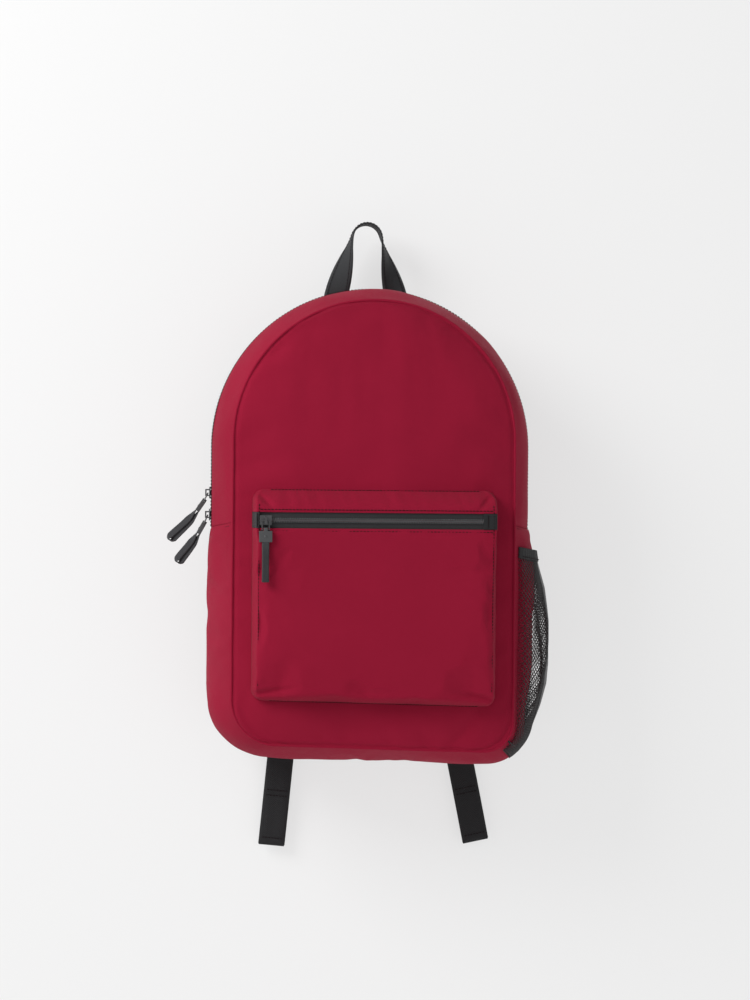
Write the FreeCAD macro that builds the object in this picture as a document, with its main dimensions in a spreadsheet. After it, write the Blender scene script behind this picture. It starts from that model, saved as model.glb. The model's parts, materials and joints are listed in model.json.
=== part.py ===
import FreeCAD, Part
import math
import os
import re

import Sketcher

Vector = FreeCAD.Vector
Rotation = FreeCAD.Rotation

# A school backpack, hanging from its grab handle.
# +Z is up, -Y is the bag's front, +X is the side with the net pocket.
# The origin is the underside of the grab handle at the top of its loop, where a hook holds it.
# The bag is a back panel, a front panel and a gusset between them that carries the main zip.

doc = FreeCAD.newDocument("school_backpack")
sheet = doc.addObject("Spreadsheet::Sheet", "dims")

DIMENSIONS = {
    # outlines: an arch over straight sides, at the back seam, the widest part and the front seam
    "belly_half": 144.5,
    "back_half": 139,
    "front_half": 126.5,
    "belly_arch_z": -210.5,
    "back_arch_z": -211,
    "front_arch_z": -205.5,
    "belly_base_z": -494,
    "back_base_z": -488,
    "front_base_z": -480,
    "belly_corner": 42,
    "fabric": 2,
    # depths from the back seam towards the front
    "zip_back_y": -48,
    "zip_mid_y": -55,
    "zip_front_y": -62,
    "front_y": -105,
    "panel": 2,
    "back_panel_t": 3,
    "piping_in": 1.5,
    "piping_out": 1.2,
    "piping_proud": 3.5,
    # heights
    "fold_z": -238,
    "zip_end_z": -284,
    "joint_gap": 0.3,
    # zips
    "tape_t": 0.8,
    "teeth_t": 1.6,
    "teeth_w": 2.5,
    "teeth_gap": 1.4,
    # front pocket
    "pocket_half": 109.5,
    "pocket_top_z": -248,
    "pocket_base_z": -440,
    "pocket_front_y": -133,
    "pocket_zip_z": -276.5,
    "pocket_zip_half": 7,
    "tab_left_x": -105,
    "tab_right_x": 96,
    # net pocket
    "net_bulge": 20,
    "net_top_bulge": 8,
    "net_top_z": -304,
    "net_mid_z": -392,
    "net_base_z": -482,
    "net_t": 1.2,
    "hem_h": 9,
    # laptop sleeve
    "sleeve_half": 118,
    "sleeve_depth": 16,
    "sleeve_top_z": -170,
    "sleeve_base_z": -470,
    "sleeve_wall": 1.5,
    "binding_h": 6,
    # back foam
    "foam_half": 90,
    "foam_t": 7,
    "foam_top_z": -152,
    "foam_base_z": -426,
    # webbing, handle
    "webbing_w": 25,
    "webbing_t": 1.6,
    "handle_leg_x": 29,
    "handle_top_r": 13,
    "handle_leg_w": 22,
    "handle_sewn_z": -100,
    "yoke_half": 80,
    "yoke_h": 18,
    "yoke_t": 2,
    # shoulder straps
    "strap_w": 56,
    "strap_t": 11,
    "strap_top_z": -120,
    "strap_sewn_h": 14,
    "strap_gap_y": 19,
    "strap_base_z": -400,
    "strap_cover": 1.5,
    "strap_x": 58,
    # ladder locks and lower webbing
    "lock_w": 34,
    "lock_h": 22,
    "lock_t": 4,
    "lock_bar": 3.4,
    "lock_slot": 5.9,
    "lock_y": 17,
    "lock_gap": 4,
    "wing_w": 40,
    "wing_h": 48,
    "wing_t": 2,
    "tail_long": 160,
    "tail_hem": 51,
    # sliders and pulls
    "slider_w": 8.5,
    "slider_l": 10.5,
    "slider_t": 1.2,
    "slider_play": 0.4,
    "bridge_t": 0.8,
    "lug_w": 2.4,
    "lug_h": 6.4,
    "lug_bar": 1.2,
    "lug_clear": 2.4,
    "wire": 1.2,
    "link_w": 7.4,
    "link_h": 9,
    "cap_w": 11.5,
    "cap_h": 11,
    "cap_t": 4,
    "cap_clear": 1.1,
    "pin_play": 0.15,
    "ribbon_w": 6.5,
    "ribbon_t": 1,
    "ribbon_gap": 2.6,
}

for row, (alias, value) in enumerate(DIMENSIONS.items(), start=1):
    sheet.set(f"A{row}", alias)
    sheet.set(f"B{row}", str(value))
    sheet.setAlias(f"B{row}", alias)
doc.recompute()

NAME = re.compile(r"[a-z][a-z_]*[a-z]")


def cells(text):
    """The expression text with each dimension's name pointing at its cell."""
    return NAME.sub(lambda match: "dims." + match.group(), str(text))


def size(alias):
    return float(sheet.get(alias))


nodes = {}


def node(label, piece):
    """Names a finished piece, and keeps it for export."""
    piece.Label = label
    nodes[label] = piece
    return piece


def box(name, across, deep, high):
    """A block between two expressions along X, Y and Z."""
    block = doc.addObject("Part::Box", name)
    for side, place, (low, top) in zip(("Length", "Width", "Height"), "xyz", (across, deep, high)):
        block.setExpression(side, cells(f"({top}) - ({low})"))
        block.setExpression(f"Placement.Base.{place}", cells(low))
    return block


def fuse(name, *pieces):
    joined = doc.addObject("Part::MultiFuse", name)
    joined.Shapes = list(pieces)
    return joined


def cut(name, base, tool):
    left = doc.addObject("Part::Cut", name)
    left.Base = base
    left.Tool = tool
    return left


def common(name, base, tool):
    shared = doc.addObject("Part::Common", name)
    shared.Base = base
    shared.Tool = tool
    return shared


def place(piece, at, axis=Vector(0, 0, 1), angle=0, about=Vector(0, 0, 0)):
    """Turns a piece about a point of its own, then moves that frame to its place on the bag."""
    turned = FreeCAD.Placement(Vector(0, 0, 0), Rotation(axis, angle), about)
    piece.Placement = FreeCAD.Placement(at, Rotation()).multiply(turned)
    return piece


def new_sketch(body, name, role, shift):
    drawing = body.newObject("Sketcher::SketchObject", name)
    plane = [part for part in body.Origin.OriginFeatures if part.Role == role][0]
    drawing.AttachmentSupport = [(plane, "")]
    drawing.MapMode = "FlatFace"
    drawing.setExpression("AttachmentOffset.Base.z", cells(shift))
    return drawing


def fix(drawing, constraint, name, text):
    index = drawing.addConstraint(constraint)
    drawing.renameConstraint(index, name)
    drawing.setExpression(f"Constraints.{name}", cells(text))


def arch_sketch(body, name, half, arch_z, base_z, corner, shift):
    """The bag's outline: a half circle over straight sides, with two round lower corners."""
    drawing = new_sketch(body, name, "XZ_Plane", shift)
    wide = 140
    middle = -210
    base = -480
    bend = 30
    up = Vector(0, 0, 1)
    left = Part.Circle(Vector(bend - wide, base + bend, 0), up, bend)
    right = Part.Circle(Vector(wide - bend, base + bend, 0), up, bend)
    drawing.addGeometry(Part.ArcOfCircle(Part.Circle(Vector(0, middle, 0), up, wide), 0, math.pi))
    drawing.addGeometry(Part.LineSegment(Vector(-wide, middle, 0), Vector(-wide, base + bend, 0)))
    drawing.addGeometry(Part.ArcOfCircle(left, math.pi, 1.5 * math.pi))
    drawing.addGeometry(Part.LineSegment(Vector(bend - wide, base, 0), Vector(wide - bend, base, 0)))
    drawing.addGeometry(Part.ArcOfCircle(right, 1.5 * math.pi, 2 * math.pi))
    drawing.addGeometry(Part.LineSegment(Vector(wide, base + bend, 0), Vector(wide, middle, 0)))
    for first in range(6):
        drawing.addConstraint(Sketcher.Constraint("Tangent", first, 2, (first + 1) % 6, 1))
    drawing.addConstraint(Sketcher.Constraint("PointOnObject", 0, 3, -2))
    drawing.addConstraint(Sketcher.Constraint("Vertical", 1))
    drawing.addConstraint(Sketcher.Constraint("Vertical", 5))
    drawing.addConstraint(Sketcher.Constraint("Horizontal", 3))
    drawing.addConstraint(Sketcher.Constraint("Equal", 2, 4))
    fix(drawing, Sketcher.Constraint("Radius", 0, wide), "half", half)
    fix(drawing, Sketcher.Constraint("Radius", 2, bend), "corner", corner)
    fix(drawing, Sketcher.Constraint("DistanceY", -1, 1, 0, 3, middle), "arch_z", arch_z)
    fix(drawing, Sketcher.Constraint("DistanceY", -1, 1, 3, 1, base), "base_z", base_z)
    return drawing


def polygon_sketch(body, name, corners, role="XZ_Plane", shift="0"):
    """A closed outline of straight lines, each corner held by two named distances."""
    drawing = new_sketch(body, name, role, shift)
    points = [Vector(evaluate(x), evaluate(y), 0) for x, y in corners]
    count = len(points)
    for index in range(count):
        drawing.addGeometry(Part.LineSegment(points[index], points[(index + 1) % count]))
    for index in range(count):
        follows = (index + 1) % count
        drawing.addConstraint(Sketcher.Constraint("Coincident", index, 2, follows, 1))
    for index, (x, y) in enumerate(corners):
        flat = Sketcher.Constraint("DistanceX", -1, 1, index, 1, points[index].x)
        tall = Sketcher.Constraint("DistanceY", -1, 1, index, 1, points[index].y)
        fix(drawing, flat, f"across_{index}", x)
        fix(drawing, tall, f"up_{index}", y)
    return drawing


def evaluate(text):
    """The value of an expression of plain numbers and dimension names."""
    return float(sheet.evalExpression(NAME.sub(lambda match: str(size(match.group())), str(text))))


def pad(body, drawing, length, name="pad"):
    solid = body.newObject("PartDesign::Pad", name)
    solid.Profile = drawing
    solid.setExpression("Length", cells(length))
    body.Tip = solid
    return solid


def loft(body, name, drawings, kind="PartDesign::AdditiveLoft"):
    solid = body.newObject(kind, name)
    solid.Profile = drawings[0]
    solid.Sections = drawings[1:]
    solid.Ruled = True
    body.Tip = solid
    return solid


# The three outlines that the whole bag follows. An inset of 0 is the outer face of the fabric.
OUTLINES = {
    "back": ("back_half", "back_arch_z", "back_base_z", "belly_corner - 6"),
    "belly": ("belly_half", "belly_arch_z", "belly_base_z", "belly_corner"),
    "front": ("front_half", "front_arch_z", "front_base_z", "belly_corner - 8"),
}


def outline(body, which, shift, inset="0"):
    half, arch_z, base_z, corner = OUTLINES[which]
    return arch_sketch(
        body,
        f"{body.Name}_{which}",
        f"{half} - ({inset})",
        arch_z,
        f"{base_z} + ({inset})",
        f"{corner} - ({inset})",
        shift,
    )


def arch_ring(name, ends, inner, outer="0"):
    """A band of fabric all round the bag between two outlines, each (which, depth from the back)."""
    body = doc.addObject("PartDesign::Body", name)
    loft(body, name + "_outside", [outline(body, which, deep, outer) for which, deep in ends])
    holes = [outline(body, which, deep, inner) for which, deep in ends]
    loft(body, name + "_inside", holes, "PartDesign::SubtractiveLoft")
    return body


def arch_plate(name, which, shift, inset, thick):
    body = doc.addObject("PartDesign::Body", name)
    pad(body, outline(body, which, shift, inset), thick)
    return body


# Slabs that cut the bands where the real pieces of fabric end.
WIDE = ("-200", "200")
DEEP = ("-200", "60")
above_zip_end = box("above_zip_end", WIDE, DEEP, ("zip_end_z", "0"))
below_zip_end = box("below_zip_end", WIDE, DEEP, ("-600", "zip_end_z"))
above_fold = box("above_fold", WIDE, DEEP, ("fold_z + joint_gap", "0"))
below_fold = box("below_fold", WIDE, DEEP, ("-600", "fold_z"))
run_left = box("run_left", ("-200", "0"), DEEP, ("zip_end_z", "fold_z"))
run_right = box("run_right", ("0", "200"), DEEP, ("zip_end_z", "fold_z"))
run_both = box("run_both", WIDE, DEEP, ("zip_end_z", "fold_z"))

# %% Gusset: a back strip, a front strip and a full-depth piece under the ends of the zip.
band_back = arch_ring("band_back", [("back", "0"), ("belly", "-zip_back_y")], "fabric")
band_mid = arch_ring("band_mid", [("belly", "-zip_back_y"), ("belly", "-zip_front_y")], "fabric")
band_front = arch_ring("band_front", [("belly", "-zip_front_y"), ("front", "-front_y")], "fabric")
node("gusset_back_strip", common("gusset_back_strip", band_back, above_zip_end))
whole_band = fuse("whole_band", band_back, band_mid, band_front)
node("bottom_gusset", common("bottom_gusset", whole_band, below_zip_end))
node("gusset_front_strip", common("gusset_front_strip", band_front, above_fold))
node("gusset_front_end_left", common("gusset_front_end_left", band_front, run_left))
node("gusset_front_end_right", common("gusset_front_end_right", band_front, run_right))

# %% Main zip: a tape and a row of teeth on each side of its middle line.
TAPE_IN = "fabric"
TAPE_OUT = "fabric - tape_t"
TEETH_OUT = "fabric - tape_t - teeth_t"
BACK_TAPE = [("belly", "-zip_back_y"), ("belly", "-zip_mid_y - teeth_gap/2")]
FRONT_TAPE = [("belly", "-zip_mid_y + teeth_gap/2"), ("belly", "-zip_front_y")]
BACK_TEETH = [("belly", "-zip_mid_y - teeth_gap/2 - teeth_w"), ("belly", "-zip_mid_y - teeth_gap/2")]
FRONT_TEETH = [("belly", "-zip_mid_y + teeth_gap/2"), ("belly", "-zip_mid_y + teeth_gap/2 + teeth_w")]
tape_back = arch_ring("tape_back", BACK_TAPE, TAPE_IN, TAPE_OUT)
tape_front = arch_ring("tape_front", FRONT_TAPE, TAPE_IN, TAPE_OUT)
teeth_back = arch_ring("teeth_back", BACK_TEETH, TAPE_OUT, TEETH_OUT)
teeth_front = arch_ring("teeth_front", FRONT_TEETH, TAPE_OUT, TEETH_OUT)
node("main_zip_tape_back", common("main_zip_tape_back", tape_back, above_zip_end))
node("main_zip_teeth_back", common("main_zip_teeth_back", teeth_back, above_zip_end))
node("main_zip_tape_front", common("main_zip_tape_front", tape_front, above_fold))
node("main_zip_teeth_front", common("main_zip_teeth_front", teeth_front, above_fold))
node("main_zip_tape_ends", common("main_zip_tape_ends", tape_front, run_both))
node("main_zip_teeth_ends", common("main_zip_teeth_ends", teeth_front, run_both))

# %% Front panel, in two at the line where it folds, and the piping round it.
panel = arch_plate("panel", "front", "-front_y", "piping_in", "panel")
node("front_panel_upper", common("front_panel_upper", panel, above_fold))
node("front_panel_lower", common("front_panel_lower", panel, below_fold))
PIPING = [("front", "-front_y"), ("front", "-front_y + piping_proud")]
piping = arch_ring("piping", PIPING, "piping_in", "-piping_out")
node("front_piping_upper", common("front_piping_upper", piping, above_fold))
node("front_piping_lower", common("front_piping_lower", piping, below_fold))

# %% Back: panel, piping, foam pad, laptop sleeve.
node("back_panel", arch_plate("back_panel_body", "back", "-back_panel_t", "piping_in", "back_panel_t"))
BACK_PIPING = [("back", "-back_panel_t"), ("back", "0")]
node("back_piping", arch_ring("back_piping_body", BACK_PIPING, "piping_in", "-piping_out"))

foam = doc.addObject("PartDesign::Body", "foam_body")
FOAM_CORNERS = [
    ("-foam_half", "foam_base_z"),
    ("foam_half", "foam_base_z"),
    ("foam_half", "foam_top_z - 30"),
    ("foam_half - 40", "foam_top_z"),
    ("40 - foam_half", "foam_top_z"),
    ("-foam_half", "foam_top_z - 30"),
]
foam_sketch = polygon_sketch(foam, "foam_outline", FOAM_CORNERS, shift="-back_panel_t - foam_t")
pad(foam, foam_sketch, "foam_t")
node("back_foam_pad", foam)

SLEEVE_DEEP = ("-sleeve_depth", "0")
INNER_DEEP = ("sleeve_wall - sleeve_depth", "5")
sleeve_outside = box(
    "sleeve_outside", ("-sleeve_half", "sleeve_half"), SLEEVE_DEEP, ("sleeve_base_z", "sleeve_top_z")
)
sleeve_inside = box(
    "sleeve_inside",
    ("sleeve_wall - sleeve_half", "sleeve_half - sleeve_wall"),
    INNER_DEEP,
    ("sleeve_base_z + sleeve_wall", "0"),
)
node("laptop_sleeve", cut("laptop_sleeve", sleeve_outside, sleeve_inside))
node(
    "sleeve_binding",
    box(
        "sleeve_binding",
        ("-sleeve_half", "sleeve_half"),
        ("-sleeve_depth", "sleeve_wall - sleeve_depth"),
        ("sleeve_top_z", "sleeve_top_z + binding_h"),
    ),
)

# %% Front pocket: a shallow shell on the front panel, slit for its zip.
def pocket_block(name, inset):
    body = doc.addObject("PartDesign::Body", name)
    side = f"pocket_half - ({inset})"
    top = f"pocket_top_z - ({inset})"
    base = f"pocket_base_z + ({inset})"
    drawings = []
    # the walls lean in a little towards the front
    for lean, deep in (("0", "-front_y + panel"), ("3", f"-pocket_front_y - ({inset})")):
        corners = [
            (f"-({side}) + {lean}", f"{base} + 2*{lean} + 12"),
            (f"-({side}) + {lean} + 12", f"{base} + 2*{lean}"),
            (f"{side} - {lean} - 12", f"{base} + 2*{lean}"),
            (f"{side} - {lean}", f"{base} + 2*{lean} + 12"),
            (f"{side} - {lean}", f"{top} - {lean} - 10"),
            (f"{side} - {lean} - 10", f"{top} - {lean}"),
            (f"-({side}) + {lean} + 10", f"{top} - {lean}"),
            (f"-({side}) + {lean}", f"{top} - {lean} - 10"),
        ]
        drawings.append(polygon_sketch(body, f"{name}_{len(drawings)}", corners, shift=deep))
    loft(body, name + "_loft", drawings)
    return body


pocket_outside = pocket_block("pocket_outside", "0")
pocket_shell = cut("pocket_shell", pocket_outside, pocket_block("pocket_inside", "fabric"))
ZIP_LOW = "pocket_zip_z - pocket_zip_half"
ZIP_HIGH = "pocket_zip_z + pocket_zip_half"
node("pocket_face", common("pocket_face", pocket_shell, box("under_zip", WIDE, DEEP, ("-600", ZIP_LOW))))
over_zip = box("over_zip", WIDE, DEEP, (ZIP_HIGH, "0"))
node("pocket_top_band", common("pocket_top_band", pocket_shell, over_zip))
left_end = box("left_end", ("-200", "tab_left_x"), DEEP, (ZIP_LOW, ZIP_HIGH))
right_end = box("right_end", ("tab_right_x", "200"), DEEP, (ZIP_LOW, ZIP_HIGH))
node("pocket_zip_tab_left", common("pocket_zip_tab_left", pocket_shell, left_end))
node("pocket_zip_tab_right", common("pocket_zip_tab_right", pocket_shell, right_end))
ZIP_RUN = ("tab_left_x", "tab_right_x")
TAPE_DEEP = ("pocket_front_y + fabric - tape_t", "pocket_front_y + fabric")
TEETH_DEEP = ("pocket_front_y + fabric - tape_t - teeth_t", "pocket_front_y + fabric - tape_t")
UP = "pocket_zip_z + teeth_gap/2"
DOWN = "pocket_zip_z - teeth_gap/2"
node("pocket_zip_tape_upper", box("pocket_zip_tape_upper", ZIP_RUN, TAPE_DEEP, (UP, ZIP_HIGH)))
node("pocket_zip_tape_lower", box("pocket_zip_tape_lower", ZIP_RUN, TAPE_DEEP, (ZIP_LOW, DOWN)))
node("pocket_zip_teeth_upper", box("pocket_zip_teeth_upper", ZIP_RUN, TEETH_DEEP, (UP, UP + " + teeth_w")))
node(
    "pocket_zip_teeth_lower",
    box("pocket_zip_teeth_lower", ZIP_RUN, TEETH_DEEP, (DOWN + " - teeth_w", DOWN)),
)

# %% Net pocket on the right side, trimmed by the bag's own outer face.
bag_solid = fuse("bag_solid")
bag_parts = []
for name, ends in (
    ("bag_back", [("back", "0"), ("belly", "-zip_back_y")]),
    ("bag_mid", [("belly", "-zip_back_y"), ("belly", "-zip_front_y")]),
    ("bag_front", [("belly", "-zip_front_y"), ("front", "-front_y")]),
):
    body = doc.addObject("PartDesign::Body", name)
    loft(body, name + "_loft", [outline(body, which, deep) for which, deep in ends])
    bag_parts.append(body)
bag_solid.Shapes = bag_parts


def net_body(name, thick):
    """A bowed pocket: sections across the side, bulging most at its middle height."""
    body = doc.addObject("PartDesign::Body", name)
    sections = (
        ("net_top_z", "net_top_bulge"),
        ("net_mid_z", "net_bulge"),
        ("net_base_z + 42", "net_bulge - 3"),
        ("net_base_z", "-34"),
    )
    drawings = []
    for height, bulge in sections:
        reach = f"belly_half + ({bulge}) - ({thick})"
        corners = [
            ("belly_half - 70", f"-9 - ({thick})"),
            (f"{reach} - 10", f"-9 - ({thick})"),
            (reach, "-34"),
            (reach, "-72"),
            (f"{reach} - 16", f"-97 + ({thick})"),
            ("belly_half - 70", f"-97 + ({thick})"),
        ]
        drawings.append(polygon_sketch(body, f"{name}_{len(drawings)}", corners, "XY_Plane", height))
    loft(body, name + "_loft", drawings)
    return body


net_outside = net_body("net_outside", "0")
net_inside = net_body("net_inside", "net_t")
net_shell = cut("net_trimmed", cut("net_shell", net_outside, net_inside), bag_solid)
hem_z = "net_top_z - hem_h"
node("net_pocket", common("net_pocket", net_shell, box("net_slab", WIDE, DEEP, ("-600", hem_z))))
node("net_pocket_hem", common("net_pocket_hem", net_shell, box("hem_slab", WIDE, DEEP, (hem_z, "0"))))

# %% Grab handle: one length of webbing that turns a quarter between its sewn ends and its top.
def handle_shape():
    thick = size("webbing_t")
    bend = size("handle_top_r")
    leg_x = size("handle_leg_x")
    sewn_y = size("back_panel_t") + thick / 2
    top_y = 0.0

    def section(x, z, wide, deep, y, lean=0.0):
        tilt = Rotation(Vector(0, 1, 0), lean)
        near, far = -deep / 2, deep / 2
        corners = [(-wide / 2, near), (wide / 2, near), (wide / 2, far), (-wide / 2, far)]
        points = [tilt.multVec(Vector(dx, dy, 0)) + Vector(x, y, z) for dx, dy in corners]
        return Part.makePolygon(points + points[:1])

    legs = []
    for side in (-1, 1):
        flat = section(side * leg_x, size("handle_sewn_z"), size("handle_leg_w"), thick, sewn_y)
        edge = section(side * leg_x, -70, size("handle_leg_w"), thick, sewn_y)
        steps = [edge]
        # the quarter turn, in four steps from facing the wearer to facing sideways
        for step in range(1, 5):
            part = step / 4
            x = side * (leg_x - part * (leg_x - bend - thick / 2))
            z = -70 + part * (70 - bend)
            turn = Rotation(Vector(0, 0, 1), side * 90 * part)
            corners = [(-1, -1), (1, -1), (1, 1), (-1, 1)]
            wide = size("handle_leg_w") + part * (size("webbing_w") - size("handle_leg_w"))
            y = sewn_y + part * (top_y - sewn_y)
            points = [
                turn.multVec(Vector(a * wide / 2, b * thick / 2, 0)) + Vector(x, y, z)
                for a, b in corners
            ]
            steps.append(Part.makePolygon(points + points[:1]))
        legs.append(Part.makeLoft([flat, edge], True, True))
        legs.append(Part.makeLoft(steps, True, True))
    width = size("webbing_w")
    arc_start = Vector(0, -width / 2, -bend)
    arc_outer = Part.makeCylinder(bend + thick, width, arc_start, Vector(0, 1, 0))
    arc_inner = Part.makeCylinder(bend, width, arc_start, Vector(0, 1, 0))
    half = Part.makeBox(80, 80, 80, Vector(-40, -40, -bend))
    return legs[0].multiFuse(legs[1:] + [arc_outer.cut(arc_inner).common(half)]).removeSplitter()


handle = doc.addObject("Part::Feature", "grab_handle")
handle.Shape = handle_shape()
handle.Placement = FreeCAD.Placement()
node("grab_handle", handle)
SEWN_Y = ("back_panel_t", "back_panel_t + yoke_t")
node(
    "strap_yoke",
    box("strap_yoke", ("-yoke_half", "yoke_half"), SEWN_Y, ("handle_sewn_z - yoke_h", "handle_sewn_z")),
)

# %% Shoulder straps: a padded cover round a foam core, sewn at the top and standing off the back.
def strap_profile(name, inset):
    body = doc.addObject("PartDesign::Body", name)
    close = f"strap_gap_y + ({inset})"
    away = f"strap_gap_y + strap_t - ({inset})"
    corners = [
        (f"back_panel_t + ({inset})", f"strap_top_z - ({inset})"),
        (f"back_panel_t + ({inset})", f"strap_top_z - strap_sewn_h + ({inset})"),
        (close, f"strap_top_z - 34 + ({inset})"),
        (close, "strap_base_z + 20"),
        (f"{close} - 4", f"strap_base_z + ({inset})"),
        (f"{away} - 4", f"strap_base_z + ({inset})"),
        (away, "strap_base_z + 20"),
        (away, f"strap_top_z - 24 - ({inset})"),
        (f"back_panel_t + 6 - ({inset})", f"strap_top_z - ({inset})"),
    ]
    drawing = polygon_sketch(body, name + "_side", corners, "YZ_Plane", f"-strap_w/2 + ({inset})")
    pad(body, drawing, f"strap_w - 2*({inset})")
    return body


def lock_frame(name):
    """A ladder lock: a flat frame with a top bar, a middle bar and two slots."""
    outside = box(name + "_plate", ("-lock_w/2", "lock_w/2"), ("0", "lock_t"), ("-lock_h", "0"))
    slots = []
    for index, top in enumerate(("-lock_bar", "-lock_h/2 - lock_bar/2")):
        slots.append(
            box(
                f"{name}_slot_{index}",
                ("-lock_w/2 + lock_bar", "lock_w/2 - lock_bar"),
                ("-1", "lock_t + 1"),
                (f"{top} - lock_slot", top),
            )
        )
    return cut(name, outside, fuse(name + "_slots", *slots))


def webbing_station(centre, half_width, half_thick):
    """A cross-section of webbing that faces the back panel's wearer side."""
    face = Vector(0, half_thick, 0)
    points = [centre + side_way + lift for side_way, lift in (
        (half_width, face), (-half_width, face), (-half_width, -face), (half_width, -face)
    )]
    return Part.makePolygon(points + points[:1])


# the straps splay and their webbing tails hang a little unevenly, as they fell
SIDES = {
    "left": {"side": -1, "splay": 2.0, "tail_lean": 5.5},
    "right": {"side": 1, "splay": 4.2, "tail_lean": 11.5},
}
for name, hang in SIDES.items():
    side = hang["side"]
    top = Vector(side * size("strap_x"), 0, 0)
    pivot = Vector(0, 0, size("strap_top_z"))
    splay = -side * hang["splay"]
    across = Vector(0, 1, 0)
    foam_core = place(strap_profile("core_" + name, "strap_cover"), top, across, splay, pivot)
    node("strap_foam_" + name, foam_core)
    outside = place(strap_profile("cover_" + name, "0"), top, across, splay, pivot)
    node("shoulder_strap_" + name, cut("strap_cover_" + name, outside, foam_core))
    # the ladder lock hangs under the strap's end on a short loop of webbing
    drop = size("strap_top_z") - size("strap_base_z")
    swing = math.radians(hang["splay"])
    lock_x = side * (size("strap_x") + math.sin(swing) * (drop + size("lock_gap")))
    lock_z = size("strap_top_z") - math.cos(swing) * (drop + size("lock_gap"))
    lock_at = Vector(lock_x, size("lock_y"), lock_z)
    node("ladder_lock_" + name, place(lock_frame("lock_" + name), lock_at, across, splay))
    # a band of webbing from the strap's end round the lock's top bar
    loop_outside = box(
        "loop_outside_" + name,
        ("2 - webbing_w/2", "webbing_w/2 - 2"),
        ("-1.9", "lock_t + 1.9"),
        ("-lock_bar - 1.9", "lock_gap"),
    )
    loop_hole = box(
        "loop_hole_" + name,
        ("-webbing_w", "webbing_w"),
        ("-0.3", "lock_t + 0.3"),
        ("-lock_bar - 0.3", "0.3"),
    )
    loop = cut("loop_" + name, loop_outside, loop_hole)
    node("lock_loop_" + name, place(loop, lock_at, across, splay))
    # the wing in the back seam's lower corner, where the lower webbing is sewn
    wing = doc.addObject("PartDesign::Body", "wing_" + name)
    edge = f"{side}*(back_half - piping_in - 3)"
    inner = f"{side}*(back_half - piping_in - 3 - wing_w)"
    wing_corners = [
        (edge, "back_base_z + 30"),
        (edge, "back_base_z + 30 + wing_h"),
        (inner, "back_base_z + 44"),
        (inner, "back_base_z + 16"),
    ]
    wing_drawing = polygon_sketch(wing, "wing_side_" + name, wing_corners, shift="-back_panel_t - wing_t")
    pad(wing, wing_drawing, "wing_t")
    node("anchor_wing_" + name, wing)
    # lower webbing, from the wing up into the lock's lower slot, turning in line with it on the way
    half_w = size("webbing_w") / 2 - 2
    half_t = size("webbing_t") / 2
    wing_y = size("back_panel_t") + size("wing_t") + half_t
    start = Vector(side * (size("back_half") - size("wing_w") - 2), wing_y, size("back_base_z") + 30)
    near = Vector(lock_x + side * 3, wing_y + 5, lock_z - size("lock_h") - 6)
    lock_turn = Rotation(across, splay)
    slot_base = size("lock_bar") - size("lock_h")
    under = lock_at + lock_turn.multVec(Vector(0, -size("joint_gap") - half_t, slot_base + 0.3))
    slot = lock_at + lock_turn.multVec(Vector(0, size("lock_t") / 2, slot_base + size("lock_slot") / 2))
    lock_way = lock_turn.multVec(Vector(1, 0, 0))
    wing_way = Vector(near.z - start.z, 0, start.x - near.x)
    stations = []
    for centre, way in ((start, wing_way), (near, lock_way), (under, lock_way), (slot, lock_way)):
        stations.append(webbing_station(centre, way.normalize() * half_w, half_t))
    webbing = doc.addObject("Part::Feature", "lower_" + name)
    band = Part.makeLoft(stations, True, True)
    webbing.Shape = band if band.Volume > 0 else band.reversed()
    webbing.Placement = FreeCAD.Placement()
    node("lower_webbing_" + name, webbing)
    # the free tail, with its folded and sewn end
    tail_y = "lock_t + 0.4"
    tail_top = box(
        "tail_top_" + name,
        ("-webbing_w/2", "webbing_w/2"),
        (tail_y, tail_y + " + webbing_t"),
        ("-tail_long", "4"),
    )
    tail_hem = box(
        "tail_hem_" + name,
        ("-webbing_w/2", "webbing_w/2"),
        (tail_y, tail_y + " + 2*webbing_t"),
        ("-tail_long", "tail_hem - tail_long"),
    )
    tail = fuse("tail_" + name, tail_top, tail_hem)
    tail_at = Vector(lock_x, size("lock_y"), lock_z - size("lock_h") + size("lock_bar") / 2)
    node("webbing_tail_" + name, place(tail, tail_at, across, -side * hang["tail_lean"]))

# %% Sliders and pulls. In a slider's own frame its outer plate's face is at Y 0, and -Y is outwards.
LAYERS = "tape_t + teeth_t + 2*slider_play"


def slider(name, along_x, wide_z):
    half_x = f"({along_x})/2"
    half_z = f"({wide_z})/2"
    lengthways = along_x == "slider_l"
    bridge_x = ("-2", "2") if lengthways else ("-bridge_t/2", "bridge_t/2")
    bridge_z = ("-bridge_t/2", "bridge_t/2") if lengthways else ("-2", "2")
    lug_x = ("-lug_w/2", "lug_w/2")
    foot_y = ("-lug_clear", "0")
    return fuse(
        name,
        box(name + "_outer", ("-" + half_x, half_x), ("0", "slider_t"), ("-" + half_z, half_z)),
        box(
            name + "_inner",
            ("-" + half_x, half_x),
            (f"slider_t + {LAYERS}", f"2*slider_t + {LAYERS}"),
            ("-" + half_z, half_z),
        ),
        box(name + "_bridge", bridge_x, ("slider_t", f"slider_t + {LAYERS}"), bridge_z),
        box(name + "_foot_low", lug_x, foot_y, ("-lug_h/2", "lug_bar - lug_h/2")),
        box(name + "_foot_high", lug_x, foot_y, ("lug_h/2 - lug_bar", "lug_h/2")),
        box(name + "_bar", lug_x, ("-lug_clear - lug_bar", "-lug_clear"), ("-lug_h/2", "lug_h/2")),
    )


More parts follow.
